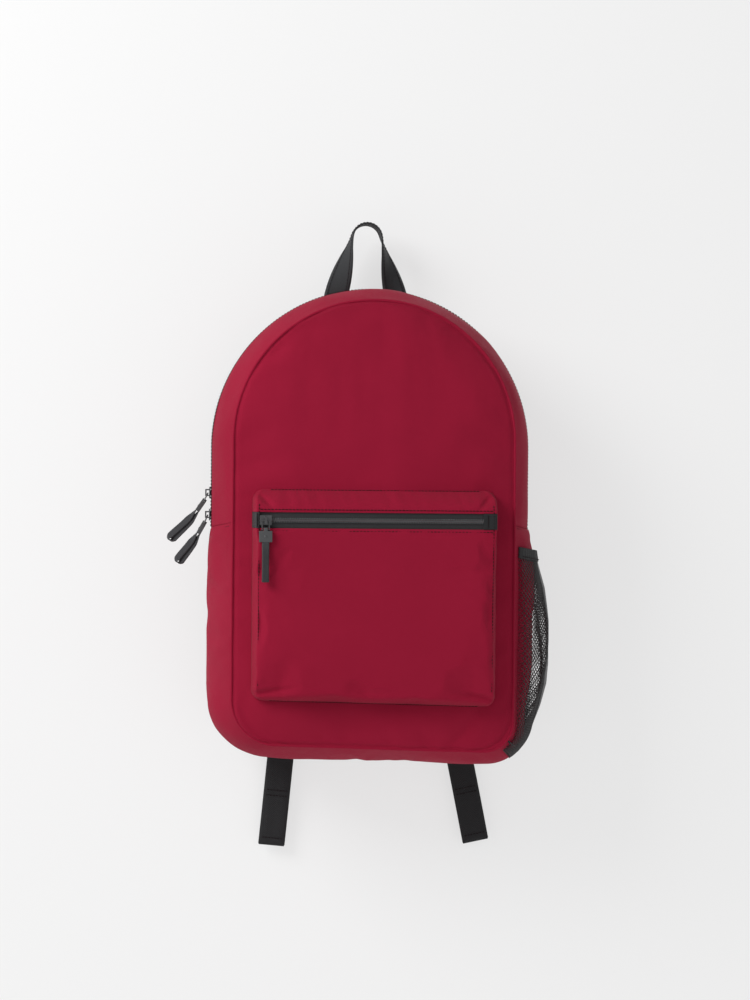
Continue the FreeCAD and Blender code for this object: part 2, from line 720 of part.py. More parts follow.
def rod(name, radius, across, deep, high):
    """A round bar along X."""
    bar = doc.addObject("Part::Cylinder", name)
    bar.setExpression("Radius", cells(radius))
    bar.setExpression("Height", cells(f"({across[1]}) - ({across[0]})"))
    bar.Placement = FreeCAD.Placement(Vector(0, 0, 0), Rotation(Vector(0, 1, 0), 90))
    for place_axis, text in zip("xyz", (across[0], deep, high)):
        bar.setExpression(f"Placement.Base.{place_axis}", cells(text))
    return bar


def upright(name, radius, at_x, high):
    """A round bar along Z, between two heights."""
    bar = doc.addObject("Part::Cylinder", name)
    bar.setExpression("Radius", cells(radius))
    bar.setExpression("Height", cells(f"({high[1]}) - ({high[0]})"))
    bar.setExpression("Placement.Base.x", cells(at_x))
    bar.setExpression("Placement.Base.z", cells(high[0]))
    return bar


def wire_link(name):
    """A closed wire link: its upper rung is at the frame's origin, its lower rung holds the cap."""
    across = ("-link_w/2", "link_w/2")
    return fuse(
        name,
        rod(name + "_upper", "wire/2", across, "0", "0"),
        rod(name + "_lower", "wire/2", across, "0", "wire - link_h"),
        upright(name + "_left", "wire/2", "wire/2 - link_w/2", ("wire - link_h", "0")),
        upright(name + "_right", "wire/2", "link_w/2 - wire/2", ("wire - link_h", "0")),
    )


def pull_cap(name):
    """A moulded cap: a knuckle on its upper edge turns on the link's lower rung."""
    block = box(name + "_block", ("-cap_w/2", "cap_w/2"), ("-cap_t/2", "cap_t/2"), ("-cap_h", "-cap_clear"))
    knuckle = box(
        name + "_knuckle",
        ("-1.7", "1.7"),
        ("-cap_t/2", "cap_t/2"),
        ("-cap_clear", "cap_clear + 0.7"),
    )
    hole = rod(name + "_hole", "wire/2 + pin_play", ("-cap_w", "cap_w"), "0", "0")
    return cut(name, fuse(name + "_solid", block, knuckle), hole)


def ribbon_route(sag, length):
    """A folded ribbon's centreline beside its cap: down one layer, round the fold, up the other."""
    top = -size("cap_h")
    gap = size("ribbon_gap") / 2
    low = top - length
    return [
        Vector(0, -gap, top),
        Vector(0, -gap - 0.3 - 0.15 * sag, top - 0.30 * length),
        Vector(0, -gap - 0.9 - 0.6 * sag, top - 0.62 * length),
        Vector(0, -gap - 1.2 - sag, top - 0.86 * length),
        Vector(0, -gap - 0.6 - 1.15 * sag, low),
        Vector(0, gap + 0.8 - 1.15 * sag, low + 0.4),
        Vector(0, gap + 1.0 - sag, top - 0.84 * length),
        Vector(0, gap + 0.7 - 0.6 * sag, top - 0.60 * length),
        Vector(0, gap + 0.3 - 0.15 * sag, top - 0.29 * length),
        Vector(0, gap, top),
    ]


def tangent_path(points):
    """Straight runs joined by tangent arcs, each as large as its two runs allow."""
    edges = []
    radii = []
    start = points[0]
    for before, corner, after in zip(points, points[1:], points[2:]):
        into = before - corner
        out = after - corner
        turn = math.pi - into.getAngle(out)
        run = 0.45 * min(into.Length, out.Length)
        enter = corner + Vector(into).normalize() * run
        leave = corner + Vector(out).normalize() * run
        radius = run / math.tan(turn / 2)
        centre_side = (Vector(into).normalize() + Vector(out).normalize()).normalize()
        middle = corner + centre_side * (radius / math.cos(turn / 2) - radius)
        edges.append(Part.LineSegment(start, enter).toShape())
        edges.append(Part.Arc(enter, middle, leave).toShape())
        radii.append(round(radius, 1))
        start = leave
    edges.append(Part.LineSegment(start, points[-1]).toShape())
    return Part.Wire(edges), radii


def ribbon(name, sag, length):
    """The pull's woven ribbon, folded in half, both ends held in the cap."""
    path, radii = tangent_path(ribbon_route(sag, length))
    wide = size("ribbon_w") / 2
    thick = size("ribbon_t") / 2
    begin = path.Vertexes[0].Point
    corners = [(-wide, -thick), (wide, -thick), (wide, thick), (-wide, thick)]
    points = [Vector(x, begin.y + y, begin.z) for x, y in corners]
    section = Part.makePolygon(points + points[:1])
    solid = path.makePipeShell([section], True, False)
    print(name, "length", round(path.Length, 1), "radii", radii)
    print(name, "volume share", round(solid.Volume / (4 * wide * thick * path.Length), 3))
    piece = doc.addObject("Part::Feature", name)
    piece.Shape = solid
    return piece


# where each slider stands, the way its face looks, its pull's lean from hanging straight down
SURFACE = "slider_play + slider_t + teeth_t + tape_t - fabric"
side_out = -size("belly_half") - evaluate(SURFACE)
pocket_out = size("pocket_front_y") - evaluate(SURFACE)
SLIDERS = {
    "main_upper": {"at": Vector(side_out, size("zip_mid_y"), -252.5), "face": -90, "lean": 26, "bend": 8},
    "main_lower": {"at": Vector(side_out, size("zip_mid_y"), -272.5), "face": -90, "lean": 23, "bend": 6},
    "pocket": {"at": Vector(-98.5, pocket_out, size("pocket_zip_z")), "face": 0, "lean": 2, "bend": 0},
}
RIBBONS = {"main_upper": (5, 36), "main_lower": (3, 32), "pocket": (0, 35)}
for name, stand in SLIDERS.items():
    facing = FreeCAD.Placement(stand["at"], Rotation(Vector(0, 0, 1), stand["face"]))
    if name == "pocket":
        body = slider(name + "_slider", "slider_l", "slider_w")
    else:
        body = slider(name + "_slider", "slider_w", "slider_l")
    body.Placement = facing
    node(name + "_slider", body)
    pin = Vector(0, -size("lug_clear") / 2, -0.6)
    lean = Rotation(Vector(1, 0, 0), -stand["lean"])
    link_frame = facing.multiply(FreeCAD.Placement(pin, lean))
    link = wire_link(name + "_link")
    link.Placement = link_frame
    node(name + "_pull_link", link)
    rung = Vector(0, 0, size("wire") - size("link_h"))
    turn = Rotation(Vector(1, 0, 0), -stand["bend"])
    pull_frame = link_frame.multiply(FreeCAD.Placement(rung, turn))
    cap = pull_cap(name + "_cap")
    cap.Placement = pull_frame
    node(name + "_pull_cap", cap)
    sag, length = RIBBONS[name]
    strip = ribbon(name + "_ribbon", sag, length)
    strip.Placement = pull_frame
    node(name + "_pull_ribbon", strip)
    axis = link_frame.Rotation.multVec(Vector(1, 0, 0))
    print(name, "pin", link_frame.Base, "rung", pull_frame.Base, "axis", axis)

doc.recompute()

for piece in doc.Objects:
    if "Invalid" in piece.State or "Error" in piece.State:
        raise RuntimeError(f"{piece.Name} failed: {piece.State}")
for label, piece in nodes.items():
    if piece.Shape.isNull() or not piece.Shape.isValid():
        raise RuntimeError(f"{label} has no valid shape")

os.makedirs("parts", exist_ok=True)
for label, piece in nodes.items():
    piece.Shape.exportStep(f"parts/{label}.step")
print(len(nodes), "pieces")
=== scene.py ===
# %% [markdown]
# # A school backpack, piece by piece
# The bag is sewn from a front panel, a back panel and a gusset between them that carries the main zip.
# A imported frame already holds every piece's place and every joint, so nothing is placed by eye here:
# each piece starts from the frame's own boxes and is then given the shape and finish of the real one.

# %% Load the frame
import json
import math

import bpy
import numpy as np
from mathutils import Matrix, Vector, noise


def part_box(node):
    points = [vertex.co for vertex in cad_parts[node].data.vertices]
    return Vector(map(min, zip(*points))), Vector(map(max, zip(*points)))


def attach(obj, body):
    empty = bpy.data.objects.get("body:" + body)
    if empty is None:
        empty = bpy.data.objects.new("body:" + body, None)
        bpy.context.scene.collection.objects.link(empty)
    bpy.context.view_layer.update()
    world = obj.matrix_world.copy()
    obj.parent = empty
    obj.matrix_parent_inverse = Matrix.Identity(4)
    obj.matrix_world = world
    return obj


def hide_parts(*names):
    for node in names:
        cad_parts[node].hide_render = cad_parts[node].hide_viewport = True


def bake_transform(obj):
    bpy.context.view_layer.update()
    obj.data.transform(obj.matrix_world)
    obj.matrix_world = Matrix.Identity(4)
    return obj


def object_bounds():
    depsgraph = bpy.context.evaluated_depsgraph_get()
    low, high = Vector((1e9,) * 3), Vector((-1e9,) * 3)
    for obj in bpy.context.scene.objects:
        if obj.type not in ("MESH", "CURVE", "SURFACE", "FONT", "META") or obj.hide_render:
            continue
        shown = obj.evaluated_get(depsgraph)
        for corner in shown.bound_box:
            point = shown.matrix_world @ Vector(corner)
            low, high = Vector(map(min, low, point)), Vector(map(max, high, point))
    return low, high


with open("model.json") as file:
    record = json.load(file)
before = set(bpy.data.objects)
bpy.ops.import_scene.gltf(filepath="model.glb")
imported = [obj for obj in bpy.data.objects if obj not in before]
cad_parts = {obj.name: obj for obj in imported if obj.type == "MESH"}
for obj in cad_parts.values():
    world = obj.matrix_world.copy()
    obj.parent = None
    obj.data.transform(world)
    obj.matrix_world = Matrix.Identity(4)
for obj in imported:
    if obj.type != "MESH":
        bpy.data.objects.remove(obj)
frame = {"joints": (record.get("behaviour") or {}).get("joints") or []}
frame_low, frame_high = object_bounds()
MM = 0.001
bpy.context.scene.view_settings.view_transform = "Standard"

# %% [markdown]
# ## Stage, light and camera
# The bag hangs against a pale wall. The wall is see-through from behind and to shadow rays, so that the
# back of the bag can still be looked at and lit. One broad soft light stands up and to the left, which
# puts the slow fall from light to dark across the front and the soft shadow on the right.


# %% The wall and the floor
# a little light of the backdrop's own keeps the shadow round the bag pale
BACKDROP_GLOW = 0.62
BACKDROP_WHITE = (0.26, 0.26, 0.26)


def linked(name, data):
    """A new object in the scene that shows a mesh, a lamp, a camera or a curve."""
    thing = bpy.data.objects.new(name, data)
    bpy.context.collection.objects.link(thing)
    return thing


def plain_stage(name, corners, colour, see_through):
    """A flat backdrop; see-through ones vanish from behind and cast no shadow."""
    mesh = bpy.data.meshes.new(name)
    mesh.from_pydata(corners, [], [(0, 1, 2, 3)])
    stage = linked(name, mesh)
    finish = bpy.data.materials.new(name)
    finish.use_nodes = True
    nodes, links = finish.node_tree.nodes, finish.node_tree.links
    nodes.clear()
    out = nodes.new("ShaderNodeOutputMaterial")
    matt = nodes.new("ShaderNodeBsdfDiffuse")
    matt.inputs["Color"].default_value = (*colour, 1)
    glow = nodes.new("ShaderNodeEmission")
    glow.inputs["Strength"].default_value = BACKDROP_GLOW
    paint = nodes.new("ShaderNodeAddShader")
    links.new(matt.outputs[0], paint.inputs[0])
    links.new(glow.outputs[0], paint.inputs[1])
    if see_through:
        clear = nodes.new("ShaderNodeBsdfTransparent")
        behind = nodes.new("ShaderNodeNewGeometry")
        path = nodes.new("ShaderNodeLightPath")
        either = nodes.new("ShaderNodeMath")
        either.operation = "MAXIMUM"
        mix = nodes.new("ShaderNodeMixShader")
        links.new(behind.outputs["Backfacing"], either.inputs[0])
        links.new(path.outputs["Is Shadow Ray"], either.inputs[1])
        links.new(either.outputs[0], mix.inputs[0])
        links.new(paint.outputs[0], mix.inputs[1])
        links.new(clear.outputs[0], mix.inputs[2])
        links.new(mix.outputs[0], out.inputs["Surface"])
    else:
        links.new(paint.outputs[0], out.inputs["Surface"])
    mesh.materials.append(finish)


WALL_Y = frame_high.y + 0.004
WALL_TOP = 1.6
FLOOR_Z = frame_low.z - 0.17
SPREAD = 3.0
across_wall = [(-SPREAD, FLOOR_Z), (SPREAD, FLOOR_Z), (SPREAD, WALL_TOP), (-SPREAD, WALL_TOP)]
across_floor = [(-SPREAD, -SPREAD), (SPREAD, -SPREAD), (SPREAD, SPREAD), (-SPREAD, SPREAD)]
plain_stage("wall", [(x, WALL_Y, z) for x, z in across_wall], BACKDROP_WHITE, True)
plain_stage("floor", [(x, y, FLOOR_Z) for x, y in across_floor], BACKDROP_WHITE, False)
print("wall at", round(WALL_Y, 3), "floor at", round(FLOOR_Z, 3))


# %% Lights and the sky
def soft_light(name, place, size, power):
    """A square lamp that looks at the bag."""
    lamp = bpy.data.lights.new(name, "AREA")
    lamp.shape = "SQUARE"
    lamp.size = size
    lamp.energy = power
    holder = linked(name, lamp)
    holder.location = place
    holder.rotation_euler = (BAG_MIDDLE - Vector(place)).to_track_quat("-Z", "Y").to_euler()


BAG_MIDDLE = Vector((0, -0.05, -0.27))
LIGHTS = {
    # place, size and power
    "key": ((-1.30, -0.98, 0.66), 0.9, 29),
    "fill": ((0.6, -2.6, 0.2), 2.0, 3),
    "back": ((0.9, 1.8, 0.6), 1.5, 22),
}
SKY_STRENGTH = 0.44
for name, (place, size, power) in LIGHTS.items():
    soft_light(name, place, size, power)
world = bpy.data.worlds.new("studio")
world.use_nodes = True
sky = world.node_tree.nodes["Background"]
sky.inputs["Color"].default_value = (1, 1, 1, 1)
sky.inputs["Strength"].default_value = SKY_STRENGTH
bpy.context.scene.world = world
print("lights:", ", ".join(LIGHTS))

# %% The camera
# It stands a little to the left of the bag and level with its middle, and is rolled a touch,
# because the bag hangs slightly out of plumb.
CAMERA_AZIMUTH = math.radians(-5.2)
CAMERA_FAR = 2.25
SEEN_HEIGHT = 0.915
TARGET = Vector((0.0050, -0.055, -0.258))
SENSOR = 36
ROLL = math.radians(0.5)
camera = linked("camera", bpy.data.cameras.new("camera"))
camera.data.sensor_width = SENSOR
camera.data.lens = SENSOR * CAMERA_FAR / SEEN_HEIGHT
toward = Vector((math.sin(CAMERA_AZIMUTH), -math.cos(CAMERA_AZIMUTH), 0))
camera.location = TARGET + toward * CAMERA_FAR
look = (-toward).to_track_quat("-Z", "Y")
camera.rotation_mode = "QUATERNION"
roll = Matrix.Rotation(ROLL, 4, "Z").to_quaternion()
camera.rotation_quaternion = look @ roll
bpy.context.scene.camera = camera
print("camera", [round(value, 3) for value in camera.location])

# %% [markdown]
# ## Cloth, webbing and hard finishes
# All the cloth on the bag is woven, so one plain-weave group serves it all at different thread counts.
# It reads a map measured in metres that every sewn piece carries, so the threads follow the piece as it
# bends. A second group gives the slow cloudy change of tone that dyed polyester has.


# %% Shared groups: plain weave, ribs and cloudy dye
def new_group(name, inputs, outputs):
    group = bpy.data.node_groups.new(name, "ShaderNodeTree")
    for label, kind, value in inputs:
        socket = group.interface.new_socket(name=label, in_out="INPUT", socket_type=kind)
        if value is not None:
            socket.default_value = value
    for label, kind in outputs:
        group.interface.new_socket(name=label, in_out="OUTPUT", socket_type=kind)
    return group, group.nodes.new("NodeGroupInput"), group.nodes.new("NodeGroupOutput")


def maths(tree, operation, first, second=None):
    node = tree.nodes.new("ShaderNodeMath")
    node.operation = operation
    for socket, value in zip(node.inputs, (first, second)):
        if value is None:
            continue
        if isinstance(value, (int, float)):
            socket.default_value = value
        else:
            tree.links.new(value, socket)
    return node.outputs[0]


def weave_group():
    """Over-and-under threads: Height is the thread's roundness, Thread is warp or weft."""
    floats = "NodeSocketFloat"
    group, start, end = new_group(
        "plain_weave",
        [("Map", "NodeSocketVector", None), ("Threads per metre", floats, 1600.0)],
        [("Height", floats), ("Thread", floats)],
    )
    scaled = group.nodes.new("ShaderNodeVectorMath")
    scaled.operation = "SCALE"
    group.links.new(start.outputs["Map"], scaled.inputs[0])
    group.links.new(start.outputs["Threads per metre"], scaled.inputs["Scale"])
    split = group.nodes.new("ShaderNodeSeparateXYZ")
    group.links.new(scaled.outputs[0], split.inputs[0])
    across, along = split.outputs[0], split.outputs[1]
    cell = maths(group, "ADD", maths(group, "FLOOR", across), maths(group, "FLOOR", along))
    over = maths(group, "FLOORED_MODULO", cell, 2.0)
    warp = maths(group, "ABSOLUTE", maths(group, "SINE", maths(group, "MULTIPLY", across, math.pi)))
    weft = maths(group, "ABSOLUTE", maths(group, "SINE", maths(group, "MULTIPLY", along, math.pi)))
    warp_up = maths(group, "MULTIPLY", warp, over)
    weft_up = maths(group, "MULTIPLY", weft, maths(group, "SUBTRACT", 1.0, over))
    group.links.new(maths(group, "ADD", warp_up, weft_up), end.inputs["Height"])
    group.links.new(over, end.inputs["Thread"])
    return group


def rib_group():
    """Webbing: slanted ribs that meet in a chevron down the middle of each stripe."""
    floats = "NodeSocketFloat"
    group, start, end = new_group(
        "webbing_ribs",
        [("Map", "NodeSocketVector", None), ("Rib", floats, 0.0016), ("Stripe", floats, 0.006)],
        [("Height", floats)],
    )
    split = group.nodes.new("ShaderNodeSeparateXYZ")
    group.links.new(start.outputs["Map"], split.inputs[0])
    folded = maths(group, "PINGPONG", split.outputs[0], start.outputs["Stripe"])
    slant = maths(group, "ADD", split.outputs[1], folded)
    turns = maths(group, "DIVIDE", slant, start.outputs["Rib"])
    wave = maths(group, "SINE", maths(group, "MULTIPLY", turns, 2 * math.pi))
    group.links.new(maths(group, "MULTIPLY_ADD", wave, 0.5), end.inputs["Height"])
    return group


def dye_group():
    """Slow clouds of tone, and a finer fleck, both from 0 to 1."""
    floats = "NodeSocketFloat"
    group, start, end = new_group(
        "cloudy_dye",
        [("Cloud scale", floats, 9.0), ("Fleck scale", floats, 900.0)],
        [("Cloud", floats), ("Fleck", floats)],
    )
    place = group.nodes.new("ShaderNodeTexCoord")
    for label, output in (("Cloud scale", "Cloud"), ("Fleck scale", "Fleck")):
        clouds = group.nodes.new("ShaderNodeTexNoise")
        clouds.inputs["Detail"].default_value = 3
        group.links.new(place.outputs["Object"], clouds.inputs["Vector"])
        group.links.new(start.outputs[label], clouds.inputs["Scale"])
        group.links.new(clouds.outputs["Fac"], end.inputs[output])
    return group


WEAVE = weave_group()
RIBS = rib_group()
DYE = dye_group()
print("groups:", WEAVE.name, RIBS.name, DYE.name)


# %% Finishes
def finish_base(name, roughness, sheen=0.0, specular=0.12):
    finish = bpy.data.materials.new(name)
    finish.use_nodes = True
    tree = finish.node_tree
    shader = tree.nodes["Principled BSDF"]
    shader.inputs["Roughness"].default_value = roughness
    shader.inputs["Sheen Weight"].default_value = sheen
    shader.inputs["Sheen Roughness"].default_value = 0.4
    shader.inputs["Specular IOR Level"].default_value = specular
    return finish, tree, shader


def placed(tree, group, **values):
    node = tree.nodes.new("ShaderNodeGroup")
    node.node_tree = group
    for label, value in values.items():
        node.inputs[label.replace("_", " ")].default_value = value
    return node


def blend_colours(tree, factor, dark, light):
    mix = tree.nodes.new("ShaderNodeMix")
    mix.data_type = "RGBA"
    mix.inputs["A"].default_value = (*dark, 1)
    mix.inputs["B"].default_value = (*light, 1)
    tree.links.new(factor, mix.inputs["Factor"])
    return mix.outputs["Result"]


def bump(tree, shader, height, depth):
    relief = tree.nodes.new("ShaderNodeBump")
    relief.inputs["Strength"].default_value = 1.0
    relief.inputs["Distance"].default_value = depth
    tree.links.new(height, relief.inputs["Height"])
    tree.links.new(relief.outputs[0], shader.inputs["Normal"])


def sewn_map(tree):
    lengths = tree.nodes.new("ShaderNodeUVMap")
    lengths.uv_map = "cloth"
    return lengths.outputs["UV"]


def woven(name, dark, light, threads, depth, roughness=0.8, sheen=0.05):
    """Plain woven cloth: threads that shade each other, over a cloudy dye."""
    finish, tree, shader = finish_base(name, roughness, sheen)
    weave = placed(tree, WEAVE, Threads_per_metre=threads)
    tree.links.new(sewn_map(tree), weave.inputs["Map"])
    dye = placed(tree, DYE)
    tone = maths(tree, "MULTIPLY_ADD", dye.outputs["Cloud"], 0.7)
    # the weave's height also tints the colour, lighter on each thread's crown and darker between threads:
    # painted highlight and painted shade
    painted_thread_shading = maths(tree, "MULTIPLY", weave.outputs["Height"], 0.3)
    tree.links.new(painted_thread_shading, tone.node.inputs[2])
    tree.links.new(blend_colours(tree, tone, dark, light), shader.inputs["Base Color"])
    rough = maths(tree, "MULTIPLY_ADD", dye.outputs["Fleck"], 0.12)
    rough.node.inputs[2].default_value = roughness - 0.06
    tree.links.new(rough, shader.inputs["Roughness"])
    bump(tree, shader, weave.outputs["Height"], depth)
    return finish


def webbing(name, dark, light, rib, stripe, depth, roughness=0.7):
    """Ribbed webbing: slanted ribs in chevron stripes."""
    finish, tree, shader = finish_base(name, roughness, 0.05)
    ribs = placed(tree, RIBS, Rib=rib, Stripe=stripe)
    tree.links.new(sewn_map(tree), ribs.inputs["Map"])
    dye = placed(tree, DYE)
    tone = maths(tree, "MULTIPLY_ADD", dye.outputs["Fleck"], 0.5)
    # the ribs' height also tints the colour, lighter on the ribs and darker between them: painted highlight
    # and painted shade
    tree.links.new(maths(tree, "MULTIPLY", ribs.outputs["Height"], 0.5), tone.node.inputs[2])
    tree.links.new(blend_colours(tree, tone, dark, light), shader.inputs["Base Color"])
    bump(tree, shader, ribs.outputs["Height"], depth)
    return finish


def moulded(name, dark, light, roughness, grain, depth, metal=0.0, coat=0.0):
    """Moulded plastic, rubber or enamel: a fine pebbled skin with a little dust in its tone."""
    finish, tree, shader = finish_base(name, roughness, 0.0, 0.5)
    shader.inputs["Metallic"].default_value = metal
    shader.inputs["Coat Weight"].default_value = coat
    dye = placed(tree, DYE, Cloud_scale=60.0, Fleck_scale=grain)
    tree.links.new(blend_colours(tree, dye.outputs["Cloud"], dark, light), shader.inputs["Base Color"])
    rough = maths(tree, "MULTIPLY_ADD", dye.outputs["Fleck"], 0.2)
    rough.node.inputs[2].default_value = roughness - 0.1
    tree.links.new(rough, shader.inputs["Roughness"])
    bump(tree, shader, dye.outputs["Fleck"], depth)
    return finish


RED = woven("red_polyester", (0.225, 0.0035, 0.021), (0.315, 0.0075, 0.034), 1500.0, 0.00012, 0.85, 0.03)
LINING = woven("grey_lining", (0.035, 0.035, 0.038), (0.06, 0.06, 0.064), 2200.0, 0.00006, 0.6, 0.1)
STRAP_CLOTH = woven("strap_cloth", (0.018, 0.018, 0.02), (0.034, 0.034, 0.036), 1200.0, 0.00018)
AIR_MESH = woven("air_mesh", (0.012, 0.012, 0.013), (0.06, 0.06, 0.064), 420.0, 0.0006, 0.8, 0.3)
BLACK_WEBBING = webbing("black_webbing", (0.012, 0.012, 0.0125), (0.034, 0.034, 0.036), 0.0018, 0.006, 0.0003)
HANDLE_WEBBING = webbing("handle_webbing", (0.02, 0.021, 0.022), (0.05, 0.052, 0.055), 0.0018, 0.006, 0.0003)
ZIP_TAPE = webbing("zip_tape", (0.02, 0.02, 0.021), (0.045, 0.044, 0.047), 0.0007, 0.5, 0.00012)
PULL_RIBBON = webbing("pull_ribbon", (0.03, 0.03, 0.032), (0.062, 0.062, 0.066), 0.0008, 0.5, 0.00012)
BINDING = webbing("grosgrain_binding", (0.025, 0.025, 0.026), (0.055, 0.054, 0.056), 0.0012, 0.5, 0.0002)
# the coil is lighter than its tape: partly the nylon's own grey, partly a painted highlight standing for the
# gloss on its loops
COIL = moulded("nylon_coil", (0.05, 0.05, 0.052), (0.10, 0.098, 0.102), 0.38, 700.0, 0.00003)
ENAMEL = moulded("dark_enamel", (0.05, 0.05, 0.053), (0.09, 0.09, 0.094), 0.35, 500.0, 0.00003, 0.6, 0.3)
RUBBER = moulded("pull_rubber", (0.035, 0.036, 0.038), (0.06, 0.062, 0.065), 0.55, 1200.0, 0.00008)
ACETAL = moulded("black_acetal", (0.012, 0.012, 0.0125), (0.03, 0.03, 0.031), 0.42, 900.0, 0.00005)
# near-black thread: partly the real dark thread, partly painted shade of the stitch holes and the furrow they
# sink into the red cloth
THREAD_AND_STITCH_SHADE = webbing("dark_thread_and_painted_stitch_shade", (0.004, 0.001, 0.002), (0.014, 0.004, 0.006), 0.0004, 0.5, 0.00003)
NET_YARN = moulded("net_yarn", (0.018, 0.017, 0.018), (0.048, 0.046, 0.048), 0.5, 2000.0, 0.00002)
print("finishes:", len([m for m in bpy.data.materials if m.users]))

# %% [markdown]
# ## The bag's outline
# Every sewn edge of the bag follows one of three outlines: the back seam, the fullest part of the
# gusset, and the front seam. Each is a half circle over straight sides with two round lower corners.
# They are sampled with one shared distance round the bag, so a strip between two of them has no twist.


# %% Three outlines with a shared distance
def outline(half, arch_z, base_z, left_corner, right_corner):
    """Points clockwise from the middle of the base, seen from the front."""

    def bend(centre_x, centre_z, radius, first, last, count):
        turns = np.linspace(first, last, count, endpoint=False)
        return np.stack([centre_x + radius * np.cos(turns), centre_z + radius * np.sin(turns)], 1)

    def run(first, last, count):
        return np.linspace(first, last, count, endpoint=False)

    left_foot = (-half + left_corner, base_z)
    right_foot = (half - right_corner, base_z)
    return np.concatenate([
        run((0, base_z), left_foot, 120),
        bend(-half + left_corner, base_z + left_corner, left_corner, 1.5 * math.pi, math.pi, 80),
        run((-half, base_z + left_corner), (-half, arch_z), 250),
        bend(0, arch_z, half, math.pi, 0, 500),
        run((half, arch_z), (half, base_z + right_corner), 250),
        bend(half - right_corner, base_z + right_corner, right_corner, 0, -0.5 * math.pi, 80),
        run(right_foot, (0, base_z), 121),
    ])


def seam_values(node_top, node_base, inset):
    """Half width, arch height and base height, read from the boxes of two nodes."""
    low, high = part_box(node_top)
    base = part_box(node_base)[0]
    half = high.x
    return half + inset, high.z - half, base.z - inset


PIPING_IN = 1.5 * MM
front_half, front_arch, front_base = seam_values("front_panel_upper", "front_panel_lower", PIPING_IN)
back_half, back_arch, back_base = seam_values("back_panel", "back_panel", PIPING_IN)
belly_half, belly_arch, _ = seam_values("main_zip_tape_back", "main_zip_tape_back", 1.2 * MM)
belly_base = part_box("bottom_gusset")[0].z
OUTLINES = {
    "front": outline(front_half, front_arch, front_base, 40 * MM, 27 * MM),
    "belly": outline(belly_half, belly_arch, belly_base, 50 * MM, 36 * MM),
    "back": outline(back_half, back_arch, back_base, 42 * MM, 34 * MM),
}


def far_along(points):
    """How far along a line each of its points lies."""
    return np.concatenate([[0], np.cumsum(np.linalg.norm(np.diff(points, axis=0), axis=1))])


def unit(vectors):
    return vectors / np.maximum(np.linalg.norm(vectors, axis=-1, keepdims=True), 1e-9)


ROUND = far_along(OUTLINES["belly"])
ROUND_LENGTH = ROUND[-1]


def outline_at(which, s):
    shape = OUTLINES[which]
    return np.stack([np.interp(s, ROUND, shape[:, 0]), np.interp(s, ROUND, shape[:, 1])], -1)


SAG = 4 * MM
SAG_TOP, SAG_RUN = -300 * MM, 180 * MM


def sagged(points):
    """The bag's lower part hangs a little lower on its right, where the net pocket pulls it."""
    points = np.array(points, float)
    part = np.clip((SAG_TOP - points[..., 2]) / SAG_RUN, 0, 1)
    points[..., 2] -= SAG * points[..., 0] / front_half * part * part * (3 - 2 * part)
    return points


FRONT_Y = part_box("front_panel_upper")[1].y
ZIP_BACK_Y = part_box("main_zip_tape_back")[1].y
ZIP_FRONT_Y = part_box("main_zip_tape_front")[0].y
ZIP_MID_Y = (ZIP_BACK_Y + ZIP_FRONT_Y) / 2


def round_the_bag(s, y):
    """The outer face of the gusset at distance s round the bag and depth y."""
    s, y = np.broadcast_arrays(np.asarray(s, float), np.asarray(y, float))
    to_belly = np.clip(y / ZIP_BACK_Y, 0, 1)
    to_belly = 1 - (1 - to_belly) ** 2
    to_front = np.clip((ZIP_FRONT_Y - y) / (ZIP_FRONT_Y - FRONT_Y), 0, 1) ** 1.7
    flat = outline_at("back", s) * (1 - to_belly)[..., None] + outline_at("belly", s) * to_belly[..., None]
    flat = flat * (1 - to_front)[..., None] + outline_at("front", s) * to_front[..., None]
    return sagged(np.stack([flat[..., 0], y, flat[..., 1]], -1))


def outward(s, y):
    """The gusset's outward direction, from small steps round and across it."""
    step = 0.4 * MM
    along = round_the_bag(s + step, y) - round_the_bag(s - step, y)
    across = round_the_bag(s, y + step) - round_the_bag(s, y - step)
    return unit(np.cross(along, across))


def distance_at(z, side):
    """The distance round the bag where the fullest outline passes height z, on side -1 or 1."""
    shape = OUTLINES["belly"]
    rows = np.nonzero((np.sign(shape[:, 0]) == side) & (np.abs(shape[:, 1] - z) < 1.2 * MM))[0]
    return float(np.mean(ROUND[rows]))


ZIP_END_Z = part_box("main_zip_tape_back")[0].z
ZIP_START = distance_at(ZIP_END_Z, -1)
ZIP_STOP = distance_at(ZIP_END_Z, 1)
OUT_SIGN = 1 if outward(ROUND_LENGTH / 2, ZIP_MID_Y)[2] > 0 else -1
print("round the bag:", round(ROUND_LENGTH, 3), "m; zip", round(ZIP_STOP - ZIP_START, 3), "m")

# %% [markdown]
# ## Sewing a piece
# A sewn piece is a grid of points on its outer face, given the cloth's thickness on its inner side and
# closed round its rim, so it is a real layer with two faces. The grid also gives the map in metres that
# the weave reads. Where a piece has slack, Blender's cloth solver settles it with its seams pinned.


# %% The layer builder, the cloth solver and the ruffle
def grid_faces(rows, columns, offset, flip, closed):
    faces = []
    last = columns if closed else columns - 1
    for row in range(rows - 1):
        for column in range(last):
            follows = (column + 1) % columns
            face = [
                offset + row * columns + column,
                offset + row * columns + follows,
                offset + (row + 1) * columns + follows,
                offset + (row + 1) * columns + column,
            ]
            faces.append(face[::-1] if flip else face)
    return faces


